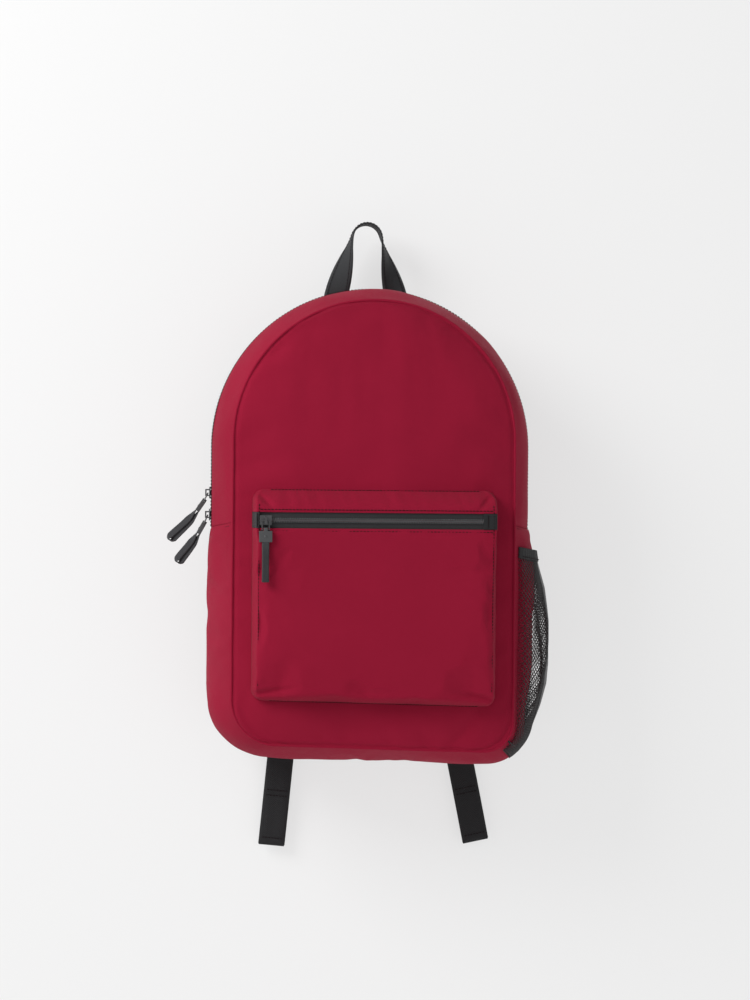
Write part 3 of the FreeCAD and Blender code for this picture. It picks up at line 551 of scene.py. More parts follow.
def add_piece(name, points, faces, lengths, finishes, face_finish=None):
    """A smooth mesh with its map in metres, welded where points meet."""
    points = np.asarray(points, float)
    kept, place = np.unique(np.round(points, 6), axis=0, return_inverse=True)
    place = place.reshape(-1)
    clean, maps, picked = [], [], []
    for index, face in enumerate(faces):
        corners = [int(place[corner]) for corner in face]
        order = [k for k in range(len(corners)) if corners[k] != corners[k - 1]]
        if len({corners[k] for k in order}) < 3:
            continue
        clean.append([corners[k] for k in order])
        maps.extend(lengths[face[k]] for k in order)
        picked.append(face_finish[index] if face_finish else 0)
    mesh = bpy.data.meshes.new(name)
    mesh.from_pydata(kept.tolist(), [], clean)
    layer = mesh.uv_layers.new(name="cloth")
    layer.data.foreach_set("uv", np.asarray(maps, np.float32).ravel())
    mesh.polygons.foreach_set("material_index", picked)
    mesh.polygons.foreach_set("use_smooth", [True] * len(mesh.polygons))
    for finish in finishes:
        mesh.materials.append(finish)
    return linked(name, mesh)


def face_directions(grid, closed):
    """Directions square to a grid's face, at every point."""
    down = np.gradient(grid, axis=0)
    if closed:
        across = np.roll(grid, -1, axis=1) - np.roll(grid, 1, axis=1)
    else:
        across = np.gradient(grid, axis=1)
    return unit(np.cross(across, down))


def metres(grid):
    """The map: the distance across and down the grid, in metres."""
    wide = np.linalg.norm(np.diff(grid, axis=1), axis=2)
    tall = np.linalg.norm(np.diff(grid, axis=0), axis=2)
    across = np.concatenate([np.zeros((len(grid), 1)), np.cumsum(wide, axis=1)], 1)
    across -= across.mean(axis=1, keepdims=True)
    down = np.concatenate([np.zeros((1, grid.shape[1])), np.cumsum(tall, axis=0)], 0)
    return np.stack([across, down], -1).reshape(-1, 2)


def layer(name, grid, thick, finishes, face=None, flip=False, closed=False):
    """A closed layer of cloth: outer face as given, inner face thick further in, rim round the edge."""
    rows, columns = grid.shape[:2]
    if face is None:
        face = face_directions(grid, closed) * (-1 if flip else 1)
    inner = grid - face * thick
    count = rows * columns
    outside = grid_faces(rows, columns, 0, flip, closed)
    inside = grid_faces(rows, columns, count, not flip, closed)
    rim, edges = [], []
    for column in range(columns if closed else columns - 1):
        follows = (column + 1) % columns
        edges.append((column, follows))
        edges.append(((rows - 1) * columns + follows, (rows - 1) * columns + column))
    if not closed:
        for row in range(rows - 1):
            edges.append(((row + 1) * columns, row * columns))
            edges.append((row * columns + columns - 1, (row + 1) * columns + columns - 1))
    for first, second in edges:
        quad = [second, first, first + count, second + count]
        rim.append(quad[::-1] if flip else quad)
    kinds = [0] * len(outside) + [len(finishes) - 1] * len(inside) + [0] * len(rim)
    lengths = np.concatenate([metres(grid), metres(inner)])
    points = np.concatenate([grid.reshape(-1, 3), inner.reshape(-1, 3)])
    return add_piece(name, points, outside + inside + rim, lengths, finishes, kinds)


def settle(grid, pinned, pressure, slack, cap, closed=False, frames=18):
    """Blender's cloth solver on one face of cloth with its seams pinned; no point moves more than cap."""
    flat = grid.reshape(-1, 3)
    kept, first, place = np.unique(np.round(flat, 6), axis=0, return_index=True, return_inverse=True)
    place = place.reshape(-1)
    faces = []
    for face in grid_faces(grid.shape[0], grid.shape[1], 0, False, closed):
        corners = [int(place[corner]) for corner in face]
        corners = [c for k, c in enumerate(corners) if c != corners[k - 1]]
        if len(set(corners)) > 2:
            faces.append(corners)
    mesh = bpy.data.meshes.new("settling")
    mesh.from_pydata(kept.tolist(), [], faces)
    cloth_object = linked("settling", mesh)
    group = cloth_object.vertex_groups.new(name="sewn")
    group.add([int(k) for k in np.nonzero(pinned.reshape(-1)[first])[0]], 1.0, "REPLACE")
    cloth = cloth_object.modifiers.new("cloth", "CLOTH")
    settings = cloth.settings
    settings.quality = 6
    settings.mass = 0.15
    settings.tension_stiffness = 25
    settings.compression_stiffness = 25
    settings.bending_stiffness = 0.6
    settings.vertex_group_mass = "sewn"
    settings.shrink_min = -slack
    settings.use_pressure = True
    settings.uniform_pressure_force = pressure
    settings.effector_weights.gravity = 0
    cloth.point_cache.frame_start = 1
    cloth.point_cache.frame_end = frames
    scene = bpy.context.scene
    for step in range(1, frames + 1):
        scene.frame_set(step)
    solved = cloth_object.evaluated_get(bpy.context.evaluated_depsgraph_get())
    moved = np.array([vertex.co[:] for vertex in solved.data.vertices])
    scene.frame_set(1)
    bpy.data.objects.remove(cloth_object)
    shift = moved - kept
    size = np.linalg.norm(shift, axis=1, keepdims=True)
    shift *= np.minimum(1, cap / np.maximum(size, 1e-9))
    print("cloth moved", round(float(size.max()) / MM, 1), "mm at most")
    return (kept + shift)[place].reshape(grid.shape)


def ruffle(grid, face, scale, amount, seed=0.0):
    """Pushes a grid in and out by smooth noise: scale is the size of a wrinkle."""
    flat = grid.reshape(-1, 3)
    stretch = np.asarray(scale, float)
    heights = [noise.noise(Vector(p / stretch) + Vector((seed, 2.3 * seed, 0))) for p in flat]
    amounts = np.broadcast_to(np.asarray(amount, float), grid.shape[:2])
    return grid + face * (np.asarray(heights).reshape(grid.shape[:2]) * amounts)[..., None]


print("cloth is", "settled by the solver")

# %% [markdown]
# ## Stitches
# A stitch is a short length of thread lying along the seam with its two ends diving into the cloth. It
# is made as a little six-sided spindle, and one seam's stitches are one mesh, so a long seam stays light.


# %% The stitch maker
def spindles(name, starts, ends, lifts, radius, finish):
    """Small tapered bars between pairs of points, standing proud along lifts."""
    sides = 6
    points, faces, lengths = [], [], []
    for start, end, lift in zip(starts, ends, lifts):
        along = end - start
        length = np.linalg.norm(along)
        if length < 1e-6:
            continue
        along = along / length
        side = unit(np.cross(along, lift))
        base = len(points)
        for part, wide, rise in ((0.0, 0.35, -0.4), (0.2, 0.95, 0.5), (0.8, 0.95, 0.5), (1.0, 0.35, -0.4)):
            centre = start + along * length * part + lift * radius * rise
            for turn in range(sides):
                angle = 2 * math.pi * turn / sides
                points.append(centre + radius * wide * (math.cos(angle) * side + math.sin(angle) * lift))
                lengths.append((turn * radius, part * length))
        for ring in range(3):
            for turn in range(sides):
                follows = (turn + 1) % sides
                low = base + ring * sides
                faces.append([low + turn, low + follows, low + sides + follows, low + sides + turn])
        faces.append([base + turn for turn in range(sides)][::-1])
        faces.append([base + 3 * sides + turn for turn in range(sides)])
    mesh = bpy.data.meshes.new(name)
    mesh.from_pydata([tuple(p) for p in points], [], faces)
    layer_map = mesh.uv_layers.new(name="cloth")
    order = [corner for face in faces for corner in face]
    layer_map.data.foreach_set("uv", np.asarray([lengths[k] for k in order], np.float32).ravel())
    mesh.polygons.foreach_set("use_smooth", [True] * len(mesh.polygons))
    mesh.materials.append(finish)
    return linked(name, mesh)


STITCH = 3.1 * MM
# drawn thicker than the thread itself, so its near-black line also paints the shade of the stitch furrow
THREAD_RADIUS = 0.40 * MM


def walk(path, spacing):
    """Evenly spaced distances along a line of points."""
    lengths = far_along(path)
    count = max(int(lengths[-1] / spacing), 1)
    return lengths, np.linspace(0, lengths[-1], count + 1)


def along_path(path, lengths, where):
    return np.stack([np.interp(where, lengths, path[:, k]) for k in range(3)], -1)


def stitches(name, path, lift, finish=None, pitch=STITCH, radius=THREAD_RADIUS):
    """A seam of stitches along a line; lift is the way that the cloth faces there."""
    path = np.asarray(path, float)
    lift = np.broadcast_to(np.asarray(lift, float), path.shape)
    lengths, where = walk(path, pitch)
    gap = 0.22 * pitch
    starts = along_path(path, lengths, where[:-1] + gap / 2)
    ends = along_path(path, lengths, where[1:] - gap / 2)
    lifts = unit(along_path(lift, lengths, (where[:-1] + where[1:]) / 2))
    return spindles(name, starts, ends, lifts, radius, finish or THREAD_AND_STITCH_SHADE)


def over_the_fold(piece):
    """Bakes in the placement of a piece that runs from the fixed body up over the front that opens; it is
    left unattached.
    """
    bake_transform(piece)
    return piece


def sewn(piece, slot, *nodes, body="root"):
    """Says what a finished piece moves with and the plain pieces it stands for; its material slot is not
    used.
    """
    if body:
        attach(piece, body)
    if nodes:
        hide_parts(*nodes)
    return piece


print("stitch", round(STITCH / MM, 1), "mm, thread", round(2 * THREAD_RADIUS / MM, 1), "mm")

# %% [markdown]
# ## Gusset
# The gusset is cut in three: a strip behind the main zip, a strip in front of it, and a long bottom piece
# that runs under the bag and up both sides to the zip's ends. The front strip is one piece of cloth,
# left unattached to either the fixed body or the front.

# %% Sew the gusset
THICK = 1.6 * MM
ROUND_POINTS = 403


def fade(values, low, high, width):
    """1 inside a range and 0 at its two ends, so that wrinkles die away at a seam."""
    near = np.minimum(values - low, high - values) / width
    near = np.clip(near, 0, 1)
    return near * near * (3 - 2 * near)


def spread(fine, coarse):
    """Weights that carry a coarse row of shifts onto a fine one, smoothly."""
    where = np.linspace(0, coarse - 1, fine)
    weights = np.stack([np.interp(where, np.arange(coarse), column) for column in np.eye(coarse)], 1)
    for _ in range(4):
        weights[1:-1] = (weights[:-2] + 2 * weights[1:-1] + weights[2:]) / 4
    return weights


def hung(grid, pressure, slack, cap, step=3):
    """Lets a sewn grid settle between its seams, solved on every third thread and spread to the rest."""
    coarse = grid[::step, ::step]
    pinned = np.zeros(coarse.shape[:2], bool)
    pinned[0] = pinned[-1] = pinned[:, 0] = pinned[:, -1] = True
    shift = settle(coarse, pinned, pressure, slack, cap) - coarse
    rows = spread(grid.shape[0], coarse.shape[0])
    columns = spread(grid.shape[1], coarse.shape[1])
    return grid + np.einsum("ra,abk,cb->rck", rows, shift, columns)


def gusset_grid(first, last, back_y, front_y, columns, rows):
    """Points on the gusset between two distances round the bag and two depths, with their directions."""
    s = np.linspace(first, last, columns)[None, :]
    y = np.linspace(front_y, back_y, rows)[:, None]
    s, y = np.broadcast_arrays(s, y)
    around = np.mod(s, ROUND_LENGTH)
    face = outward(around, y) * OUT_SIGN
    return round_the_bag(around, y), face, y


back_strip, face, y = gusset_grid(ZIP_START, ZIP_STOP, 0.0, ZIP_BACK_Y, ROUND_POINTS, 19)
soft = fade(y, ZIP_BACK_Y, 0.0, 14 * MM)
back_strip = ruffle(back_strip, face, (0.05, 0.03, 0.05), soft * 1.6 * MM, 3.0)
piece = layer("gusset_back", back_strip, THICK, [RED, LINING], face, flip=True)
sewn(piece, "red_fabric", "gusset_back_strip")

front_strip, face, y = gusset_grid(ZIP_START, ZIP_STOP, ZIP_FRONT_Y, FRONT_Y, ROUND_POINTS, 19)
soft = fade(y, FRONT_Y, ZIP_FRONT_Y, 12 * MM)
front_strip = ruffle(front_strip, face, (0.04, 0.03, 0.04), soft * 1.8 * MM, 5.0)
piece = layer("gusset_front", front_strip, THICK, [RED, LINING], face, flip=True)
ends = ["gusset_front_end_left", "gusset_front_end_right"]
over_the_fold(sewn(piece, "red_fabric", "gusset_front_strip", *ends, body=None))

under, face, y = gusset_grid(ZIP_STOP, ZIP_START + ROUND_LENGTH, 0.0, FRONT_Y, ROUND_POINTS, 43)
soft = fade(y, FRONT_Y, 0.0, 25 * MM)
under = hung(under, 3.0, 0.01, 4 * MM)
under = ruffle(under, face, (0.06, 0.05, 0.045), soft * 3.0 * MM, 8.0)
# the right side is pushed out a little above and behind the net pocket
PUSH, PUSH_BASE_Z = 5.5 * MM, -450 * MM
below_zip = np.clip((ZIP_END_Z - under[..., 2]) / (30 * MM), 0, 1)
above_corner = np.clip((under[..., 2] - PUSH_BASE_Z) / (90 * MM), 0, 1)
pushed = below_zip * above_corner * soft * np.clip(under[..., 0] / (100 * MM), 0, 1)
under = under + face * (PUSH * pushed)[..., None]
sewn(layer("gusset_bottom", under, THICK, [RED, LINING], face, flip=True), "red_fabric", "bottom_gusset")

TOPSTITCH = 2.4 * MM
for name, edge, body in (("back", ZIP_BACK_Y + TOPSTITCH, "root"), ("front", ZIP_FRONT_Y - TOPSTITCH, None)):
    s = np.linspace(ZIP_START, ZIP_STOP, 600)
    depth = np.full_like(s, edge)
    line = stitches("zip_topstitch_" + name, round_the_bag(s, depth), outward(s, depth) * OUT_SIGN)
    if body:
        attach(line, body)
    else:
        over_the_fold(line)
for name, end in (("left", ZIP_START), ("right", ZIP_STOP)):
    y = np.linspace(-4 * MM, FRONT_Y + 4 * MM, 60)
    low = np.full_like(y, end + (-TOPSTITCH if name == "left" else TOPSTITCH))
    line = stitches("zip_end_seam_" + name, round_the_bag(low, y), outward(low, y) * OUT_SIGN)
    sewn(line, "red_fabric")
print("gusset sewn")

# %% [markdown]
# ## Main zip
# The coil is a spring of nylon sewn along each tape, and the two coils' loops sit between each other.
# Each loop is made as a short bar across the gap, half a pitch out of step with the one facing it.

# %% The two tapes and the two coils
COIL_PITCH = 1.5 * MM
COIL_WIRE = 0.46 * MM
COIL_SINK = 0.25 * MM
TEETH_OUT, TEETH_REACH = 2.9 * MM, 0.5 * MM
TAPE_SINK = 1.2 * MM
TAPE_THICK = 0.8 * MM


def zip_side(name, side, y_edge, phase):
    """One tape and its coil, on side 1 towards the back or -1 towards the front."""
    y_teeth, y_reach = ZIP_MID_Y + side * TEETH_OUT, ZIP_MID_Y - side * TEETH_REACH
    depths = (max(y_edge, y_teeth), min(y_edge, y_teeth))
    tape, face, _ = gusset_grid(ZIP_START, ZIP_STOP, *depths, ROUND_POINTS, 7)
    tape = layer("zip_tape_" + name, tape - face * TAPE_SINK, TAPE_THICK, [ZIP_TAPE], face, flip=True)
    s = np.arange(ZIP_START + 1 * MM + phase, ZIP_STOP - 1 * MM, COIL_PITCH)
    root = np.full_like(s, y_teeth)
    reach = np.full_like(s, y_reach)
    lift = outward(s, root) * OUT_SIGN
    starts = round_the_bag(s, root) - lift * COIL_SINK
    tips = round_the_bag(s + 0.25 * COIL_PITCH, reach) - lift * COIL_SINK
    return tape, spindles("zip_coil_" + name, starts, tips, lift, COIL_WIRE, COIL)


tape, coil = zip_side("back", 1, ZIP_BACK_Y + 1 * MM, 0.0)
sewn(tape, "zip_tape", "main_zip_tape_back")
sewn(coil, "zip_teeth", "main_zip_teeth_back")
tape, coil = zip_side("front", -1, ZIP_FRONT_Y - 1 * MM, COIL_PITCH / 2)
over_the_fold(sewn(tape, "zip_tape", "main_zip_tape_front", "main_zip_tape_ends", body=None))
over_the_fold(sewn(coil, "zip_teeth", "main_zip_teeth_front", "main_zip_teeth_ends", body=None))
print("zip coil pitch", COIL_PITCH / MM, "mm")

# %% [markdown]
# ## Front and back panels
# The front panel is one piece of cloth. It is held all round by the welt, swells a little inside it and
# shows slow folds, with faint upright creases below the arch where the curved seam takes up the ease.
# The welt is a cord rolled in the same cloth, with a dark furrow just inside it.


# %% Panel surfaces
MEAN_CORNER = 33 * MM


def seam_distance(which, x, z):
    """How far a point of a panel lies inside its outline."""
    half, arch_z, base_z = {
        "front": (front_half, front_arch, front_base),
        "back": (back_half, back_arch, back_base),
    }[which]
    corner = MEAN_CORNER
    over = half - np.hypot(x, np.maximum(z - arch_z, 0))
    side = np.abs(x) - (half - corner)
    low = (base_z + corner) - z
    outside = np.hypot(np.maximum(side, 0), np.maximum(low, 0))
    box_distance = corner - outside - np.minimum(np.maximum(side, low), 0)
    return np.where(z > arch_z, over, np.minimum(box_distance, half - np.abs(x)))


def panel_rows(which, pitch):
    """Heights of a panel's rows: even on the sides, even in angle round the arch and corners."""
    shape = OUTLINES[which]
    rising = shape[:len(shape) // 2 + 1]
    rising = rising[np.concatenate([[True], np.diff(rising[:, 1]) > 1e-7])]
    far = far_along(rising)
    count = int(far[-1] / pitch)
    count += (1 - count) % 3
    return np.interp(np.linspace(0, far[-1], count), far, rising[:, 1])


def panel_sides(which, z):
    """Where a panel's left and right edges are at heights z."""
    shape = OUTLINES[which]
    half = len(shape) // 2
    sides = []
    for edge in (shape[:half + 1], shape[half:][::-1]):
        rises = np.diff(edge[:, 1]) > 1e-7
        rising = edge[np.concatenate([[True], rises])]
        rising[0] = edge[np.nonzero(rises)[0][0]]
        sides.append(np.interp(z, rising[:, 1], rising[:, 0]))
    return sides


def panel_grid(which, pitch, columns, inset):
    """A panel's rows and columns, drawn in from its outline by the seam's inset."""
    z = panel_rows(which, pitch)
    left, right = panel_sides(which, z)
    part = np.linspace(-1, 1, columns)
    part = np.sign(part) * (1 - (1 - np.abs(part)) ** 1.15)
    x = (left + right)[:, None] / 2 + (right - left)[:, None] / 2 * part[None, :]
    z = np.broadcast_to(z[:, None], x.shape)
    middle = (front_arch if which == "front" else back_arch) - 60 * MM
    size = np.maximum(np.hypot(x, z - middle), 1e-6)
    shrink = 1 - inset / size
    return x * shrink, middle + (z - middle) * shrink


SEAM_FACE_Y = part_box("front_panel_upper")[0].y
SWELL = 5.5 * MM


def cloudy(x, z, scale, seed):
    """Smooth noise over a flat panel, for folds of about the given size."""
    flat = np.stack([x.ravel() / scale, z.ravel() / scale], 1)
    values = [noise.noise(Vector((a, b, seed))) for a, b in flat]
    return np.asarray(values).reshape(x.shape)


def front_face(x, z):
    """Depth of the front panel's outer face: furrow at the seam, swell inside it, slow folds."""
    x, z = np.broadcast_arrays(np.asarray(x, float), np.asarray(z, float))
    inside = np.maximum(seam_distance("front", x, z), 0)
    furrow = 0.9 * MM * np.exp(-((inside - 2.2 * MM) / (1.2 * MM)) ** 2)
    swell = SWELL * (0.5 * (1 - np.exp(-inside / (16 * MM))) + 1 - np.exp(-inside / (75 * MM)))
    settled = np.clip(inside / (22 * MM), 0, 1)
    folds = settled * (3.4 * MM * cloudy(x, z, 80 * MM, 1.0) + 1.3 * MM * cloudy(x, z, 36 * MM, 4.0))
    upper = np.clip((z - (front_arch - 20 * MM)) / (120 * MM), 0, 1)
    creases = 0.7 * MM * upper * settled * cloudy(x * 2.2, z * 0.35, 30 * MM, 9.0)
    return SEAM_FACE_Y + furrow - swell - folds - creases


x, z = panel_grid("front", 2.6 * MM, 121, 0.7 * MM)
front_cloth = np.stack([x, front_face(x, z), z], -1)
front_cloth = hung(front_cloth, 1.5, 0.006, 3 * MM)
front_cloth = sagged(front_cloth)
front_out = face_directions(front_cloth, False)
TURN_FRONT = bool(front_out[len(front_out) // 2, 60, 1] > 0)
forward = np.broadcast_to(np.array([0.0, -1.0, 0.0]), front_cloth.shape)
piece = layer("front_panel", front_cloth, THICK, [RED, LINING], forward, flip=TURN_FRONT)
over_the_fold(sewn(piece, "red_fabric", "front_panel_upper", "front_panel_lower", body=None))

x, z = panel_grid("back", 4 * MM, 82, 1.5 * MM)
inside = np.maximum(seam_distance("back", x, z), 0)
back_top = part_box("back_panel")[1].y
back_cloth = np.stack([x, back_top - 0.6 * MM * np.exp(-inside / (4 * MM)), z], -1)
back_cloth[..., 1] += 0.4 * MM * cloudy(x, z, 40 * MM, 2.0) * np.clip(inside / (20 * MM), 0, 1)
back_cloth = sagged(back_cloth)
back_out = face_directions(back_cloth, False)
TURN_BACK = bool(back_out[len(back_out) // 2, 40, 1] < 0)
piece = layer("back_panel_cloth", back_cloth, 2.6 * MM, [STRAP_CLOTH, LINING], flip=TURN_BACK)
sewn(piece, "red_fabric", "back_panel")
print("panels:", front_cloth.shape[:2], "and", back_cloth.shape[:2], "points")


# %% Tubes: the welts in the two seams
WOBBLE_LENGTH = 20 * MM


def tube(name, path, radius, finish, sides=14, closed=True, flat=1.0, lift=None):
    """A round or oval cord of cloth along a line of points."""
    path = np.asarray(path, float)
    if closed:
        along = unit(np.roll(path, -1, axis=0) - np.roll(path, 1, axis=0))
    else:
        along = unit(np.gradient(path, axis=0))
    side = np.broadcast_to(np.asarray(lift if lift is not None else (0, 1, 0), float), path.shape)
    side = unit(side - along * np.sum(side * along, axis=1, keepdims=True))
    other = np.cross(along, side)
    radius = np.broadcast_to(np.asarray(radius, float), (len(path),))[:, None, None]
    turns = np.linspace(0, 2 * math.pi, sides, endpoint=False)[None, :, None]
    ring = np.cos(turns) * side[:, None] * flat + np.sin(turns) * other[:, None]
    grid = path[:, None] + radius * ring
    last = (len(path) - 1) * sides
    faces = grid_faces(len(path), sides, 0, False, True)
    if closed:
        nearby = [(turn + 1) % sides for turn in range(sides)]
        faces += [[last + turn, last + nearby[turn], nearby[turn], turn] for turn in range(sides)]
    else:
        faces += [list(range(sides))[::-1], list(range(last, last + sides))]
    far = far_along(path)
    round_it = np.arange(sides) / sides * 2 * math.pi * float(radius.mean())
    lengths = np.stack(np.meshgrid(round_it, far), -1).reshape(-1, 2)
    return add_piece(name, grid.reshape(-1, 3), faces, lengths, [finish])


def seam_loop(which, y, wobble):
    """A line right round a seam at depth y, wandering a little as a hand-fed welt does."""
    s = np.linspace(0, ROUND_LENGTH, 720, endpoint=False)
    ahead, behind = np.mod(s + 1 * MM, ROUND_LENGTH), np.mod(s - 1 * MM, ROUND_LENGTH)
    step = outline_at(which, ahead) - outline_at(which, behind)
    away = unit(np.stack([-step[:, 1], step[:, 0]], 1))
    ripple = np.array([noise.noise(Vector((a / WOBBLE_LENGTH, 0.5, 0))) for a in s])
    flat = outline_at(which, s) + away * (wobble * ripple)[:, None]
    return sagged(np.stack([flat[:, 0], np.full(len(s), y), flat[:, 1]], 1))


FRONT_WELT, BACK_WELT = 1.3 * MM, 1.6 * MM
piece = tube("front_welt", seam_loop("front", FRONT_Y - FRONT_WELT, 0.25 * MM), FRONT_WELT, RED)
over_the_fold(sewn(piece, "red_fabric", "front_piping_upper", "front_piping_lower", body=None))
piece = tube("back_welt", seam_loop("back", PIPING_IN, 0.2 * MM), BACK_WELT, RED)
sewn(piece, "red_fabric", "back_piping")
print("welts", 2 * FRONT_WELT / MM, "and", 2 * BACK_WELT / MM, "mm thick")

# %% [markdown]
# ## Front pocket
# The pocket is one applied piece of cloth, gathered with a tuck at each lower corner so that it stands
# off the panel, and slit across for its zip. Its edge rises steeply beside the zip, where the slider
# needs a level run, and softly at the bottom.

# %% Pocket surface
POCKET_LOW, POCKET_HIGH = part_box("pocket_face")[0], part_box("pocket_top_band")[1]
POCKET_HALF = POCKET_HIGH.x
POCKET_TOP, POCKET_BASE = POCKET_HIGH.z, POCKET_LOW.z
POCKET_Y = POCKET_LOW.y
TAPE_UP, TAPE_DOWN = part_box("pocket_zip_tape_upper"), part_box("pocket_zip_tape_lower")
SLIT_TOP, SLIT_LOW = TAPE_UP[1].z, TAPE_DOWN[0].z
TAB_LEFT, TAB_RIGHT = TAPE_UP[0].x, TAPE_UP[1].x


def rise(part):
    """A soft edge: steep where it leaves the panel, level where it meets the pocket's face."""
    return np.sin(np.clip(part, 0, 1) * math.pi / 2) ** 0.75


def pocket_half_at(z):
    """Half the pocket's width at height z, with its round corners."""
    up = np.clip((z - (POCKET_TOP - 12 * MM)) / (12 * MM), 0, 1)
    down = np.clip(((POCKET_BASE + 11 * MM) - z) / (11 * MM), 0, 1)
    return POCKET_HALF - 12 * MM * (1 - np.sqrt(1 - up ** 2)) - 11 * MM * (1 - np.sqrt(1 - down ** 2))


def pocket_face(x, z):
    """Depth of the pocket's outer face."""
    x, z = np.broadcast_arrays(np.asarray(x, float), np.asarray(z, float))
    half = pocket_half_at(z)
    level = np.exp(-(((z - (SLIT_TOP + SLIT_LOW) / 2) / (26 * MM)) ** 2))
    side_width = 4.6 * MM - 1.4 * MM * level
    side = rise((half - np.abs(x)) / side_width)
    top = np.sin(np.clip((POCKET_TOP - z) / (21 * MM), 0, 1) * math.pi / 2) ** 0.9
    base = rise((z - POCKET_BASE) / (8 * MM))
    panel = front_face(x, z)
    loose = np.clip((SLIT_LOW - 6 * MM - z) / (30 * MM), 0, 1) * side * base
    sag = loose * (1.6 * MM * cloudy(x, z, 60 * MM, 12.0) + 0.8 * MM * cloudy(x * 1.3 + z, z, 26 * MM, 15.0))
    above = np.clip((z - SLIT_TOP - 2 * MM) / (6 * MM), 0, 1) * side
    pucker = above * 1.1 * MM * cloudy(x * 1.8 + 0.6 * z, z * 0.5, 16 * MM, 21.0)
    # a slanting tuck in each upper corner, and a nearly level one in each lower corner
    in_x, down, up = POCKET_HALF - np.abs(x), POCKET_TOP - z, z - POCKET_BASE
    slant = (in_x - down) / math.sqrt(2)
    tuck_length = np.exp(-((in_x + down - 22 * MM) / (13 * MM)) ** 2)
    upper = 2.6 * MM * np.exp(-(slant / (2.4 * MM)) ** 2) * tuck_length
    level_at = up - 7 * MM - 0.16 * in_x
    reach = np.clip((44 * MM - in_x) / (30 * MM), 0, 1)
    lower = 3.6 * MM * np.exp(-(level_at / (2.6 * MM)) ** 2) * reach
    slack = 5.0 * MM * np.clip(1 - up / (60 * MM), 0, 1) ** 2 * np.clip(1 - in_x / (70 * MM), 0, 1) ** 2
    depth = (panel - POCKET_Y) * side * top * base
    bow = 4.0 * MM * loose * (np.abs(x) / POCKET_HALF) ** 2
    return panel - depth - sag - pucker + (upper + lower + slack + bow) * side * base


def pocket_grid(z_low, z_high, columns, rows, x_low=None, x_high=None):
    """A grid over part of the pocket: None for a side means the pocket's own edge."""
    z = np.linspace(z_low, z_high, rows)
    half = pocket_half_at(z)
    left = -half if x_low is None else np.full_like(z, x_low)
    right = half if x_high is None else np.full_like(z, x_high)
    part = np.linspace(-1, 1, columns)
    part = np.sin(part * math.pi / 2) * 0.7 + part * 0.3
    x = (left + right)[:, None] / 2 + (right - left)[:, None] / 2 * part[None, :]
    z = np.broadcast_to(z[:, None], x.shape)
    return sagged(np.stack([x, pocket_face(x, z), z], -1))


pocket_main = pocket_grid(POCKET_BASE, SLIT_LOW, 160, 103)
pocket_main = hung(pocket_main, 2.0, 0.012, 3 * MM)
# the pull hangs just clear of the pocket all along the slider's run
pocket_main[..., 1] = np.maximum(pocket_main[..., 1], POCKET_Y - 1.0 * MM)
sewn(layer("pocket_front", pocket_main, THICK, [RED, LINING], flip=TURN_FRONT), "red_fabric", "pocket_face")
band_grid = pocket_grid(SLIT_TOP, POCKET_TOP, 160, 24)
sewn(layer("pocket_band", band_grid, THICK, [RED, LINING], flip=TURN_FRONT), "red_fabric", "pocket_top_band")
for name, low, high in (("left", None, TAB_LEFT + 1 * MM), ("right", TAB_RIGHT - 1 * MM, None)):
    tab = pocket_grid(SLIT_LOW, SLIT_TOP, 16, 10, low, high)
    tab[..., 1] -= 0.5 * MM
    finish = BLACK_WEBBING if name == "right" else ZIP_TAPE
    piece = layer("pocket_tab_" + name, tab, THICK, [finish], flip=TURN_FRONT)
    sewn(piece, "black_webbing", "pocket_zip_tab_" + name)
print("pocket stands", round((SEAM_FACE_Y - POCKET_Y) / MM), "mm off the seam")

# %% Pocket zip and its stitching
POCKET_TEETH_OUT = 2.3 * MM
ZIP_MID_Z = (TAPE_UP[0].z + TAPE_DOWN[1].z) / 2
for name, up, edge, phase in (
    ("upper", 1, TAPE_UP[1].z + 1 * MM, 0),
    ("lower", -1, TAPE_DOWN[0].z - 1 * MM, COIL_PITCH / 2),
):
    teeth_z, reach_z = up * POCKET_TEETH_OUT, -up * TEETH_REACH
    inner = ZIP_MID_Z + teeth_z * 0.4
    x = np.linspace(TAB_LEFT - 2 * MM, TAB_RIGHT + 2 * MM, 130)[None, :]
    z = np.linspace(min(edge, inner), max(edge, inner), 7)[:, None]
    x, z = np.broadcast_arrays(x, z)
    tape = np.stack([x, pocket_face(x, z) + 1.3 * MM, z], -1)
    piece = layer("pocket_tape_" + name, tape, TAPE_THICK, [ZIP_TAPE], flip=TURN_FRONT)
    sewn(piece, "zip_tape", "pocket_zip_tape_" + name)
    x = np.arange(TAB_LEFT + phase, TAB_RIGHT, COIL_PITCH)
    y = pocket_face(x, np.full_like(x, ZIP_MID_Z)) + COIL_SINK
    low = np.stack([x, y, np.full_like(x, ZIP_MID_Z + teeth_z)], 1)
    tip = low + np.array([0.25 * COIL_PITCH, 0, reach_z - teeth_z])
    lift = np.broadcast_to(np.array([0, -1.0, 0]), low.shape)
    coil = spindles("pocket_coil_" + name, low, tip, lift, COIL_WIRE, COIL)
    sewn(coil, "zip_teeth", "pocket_zip_teeth_" + name)


def pocket_line(name, x, z, out=0.15 * MM):
    """A row of stitches on the pocket, standing out from its face."""
    path = sagged(np.stack([x, pocket_face(x, z) - out, z], 1))
    sewn(stitches(name, path, (0, -1, 0)), "red_fabric")


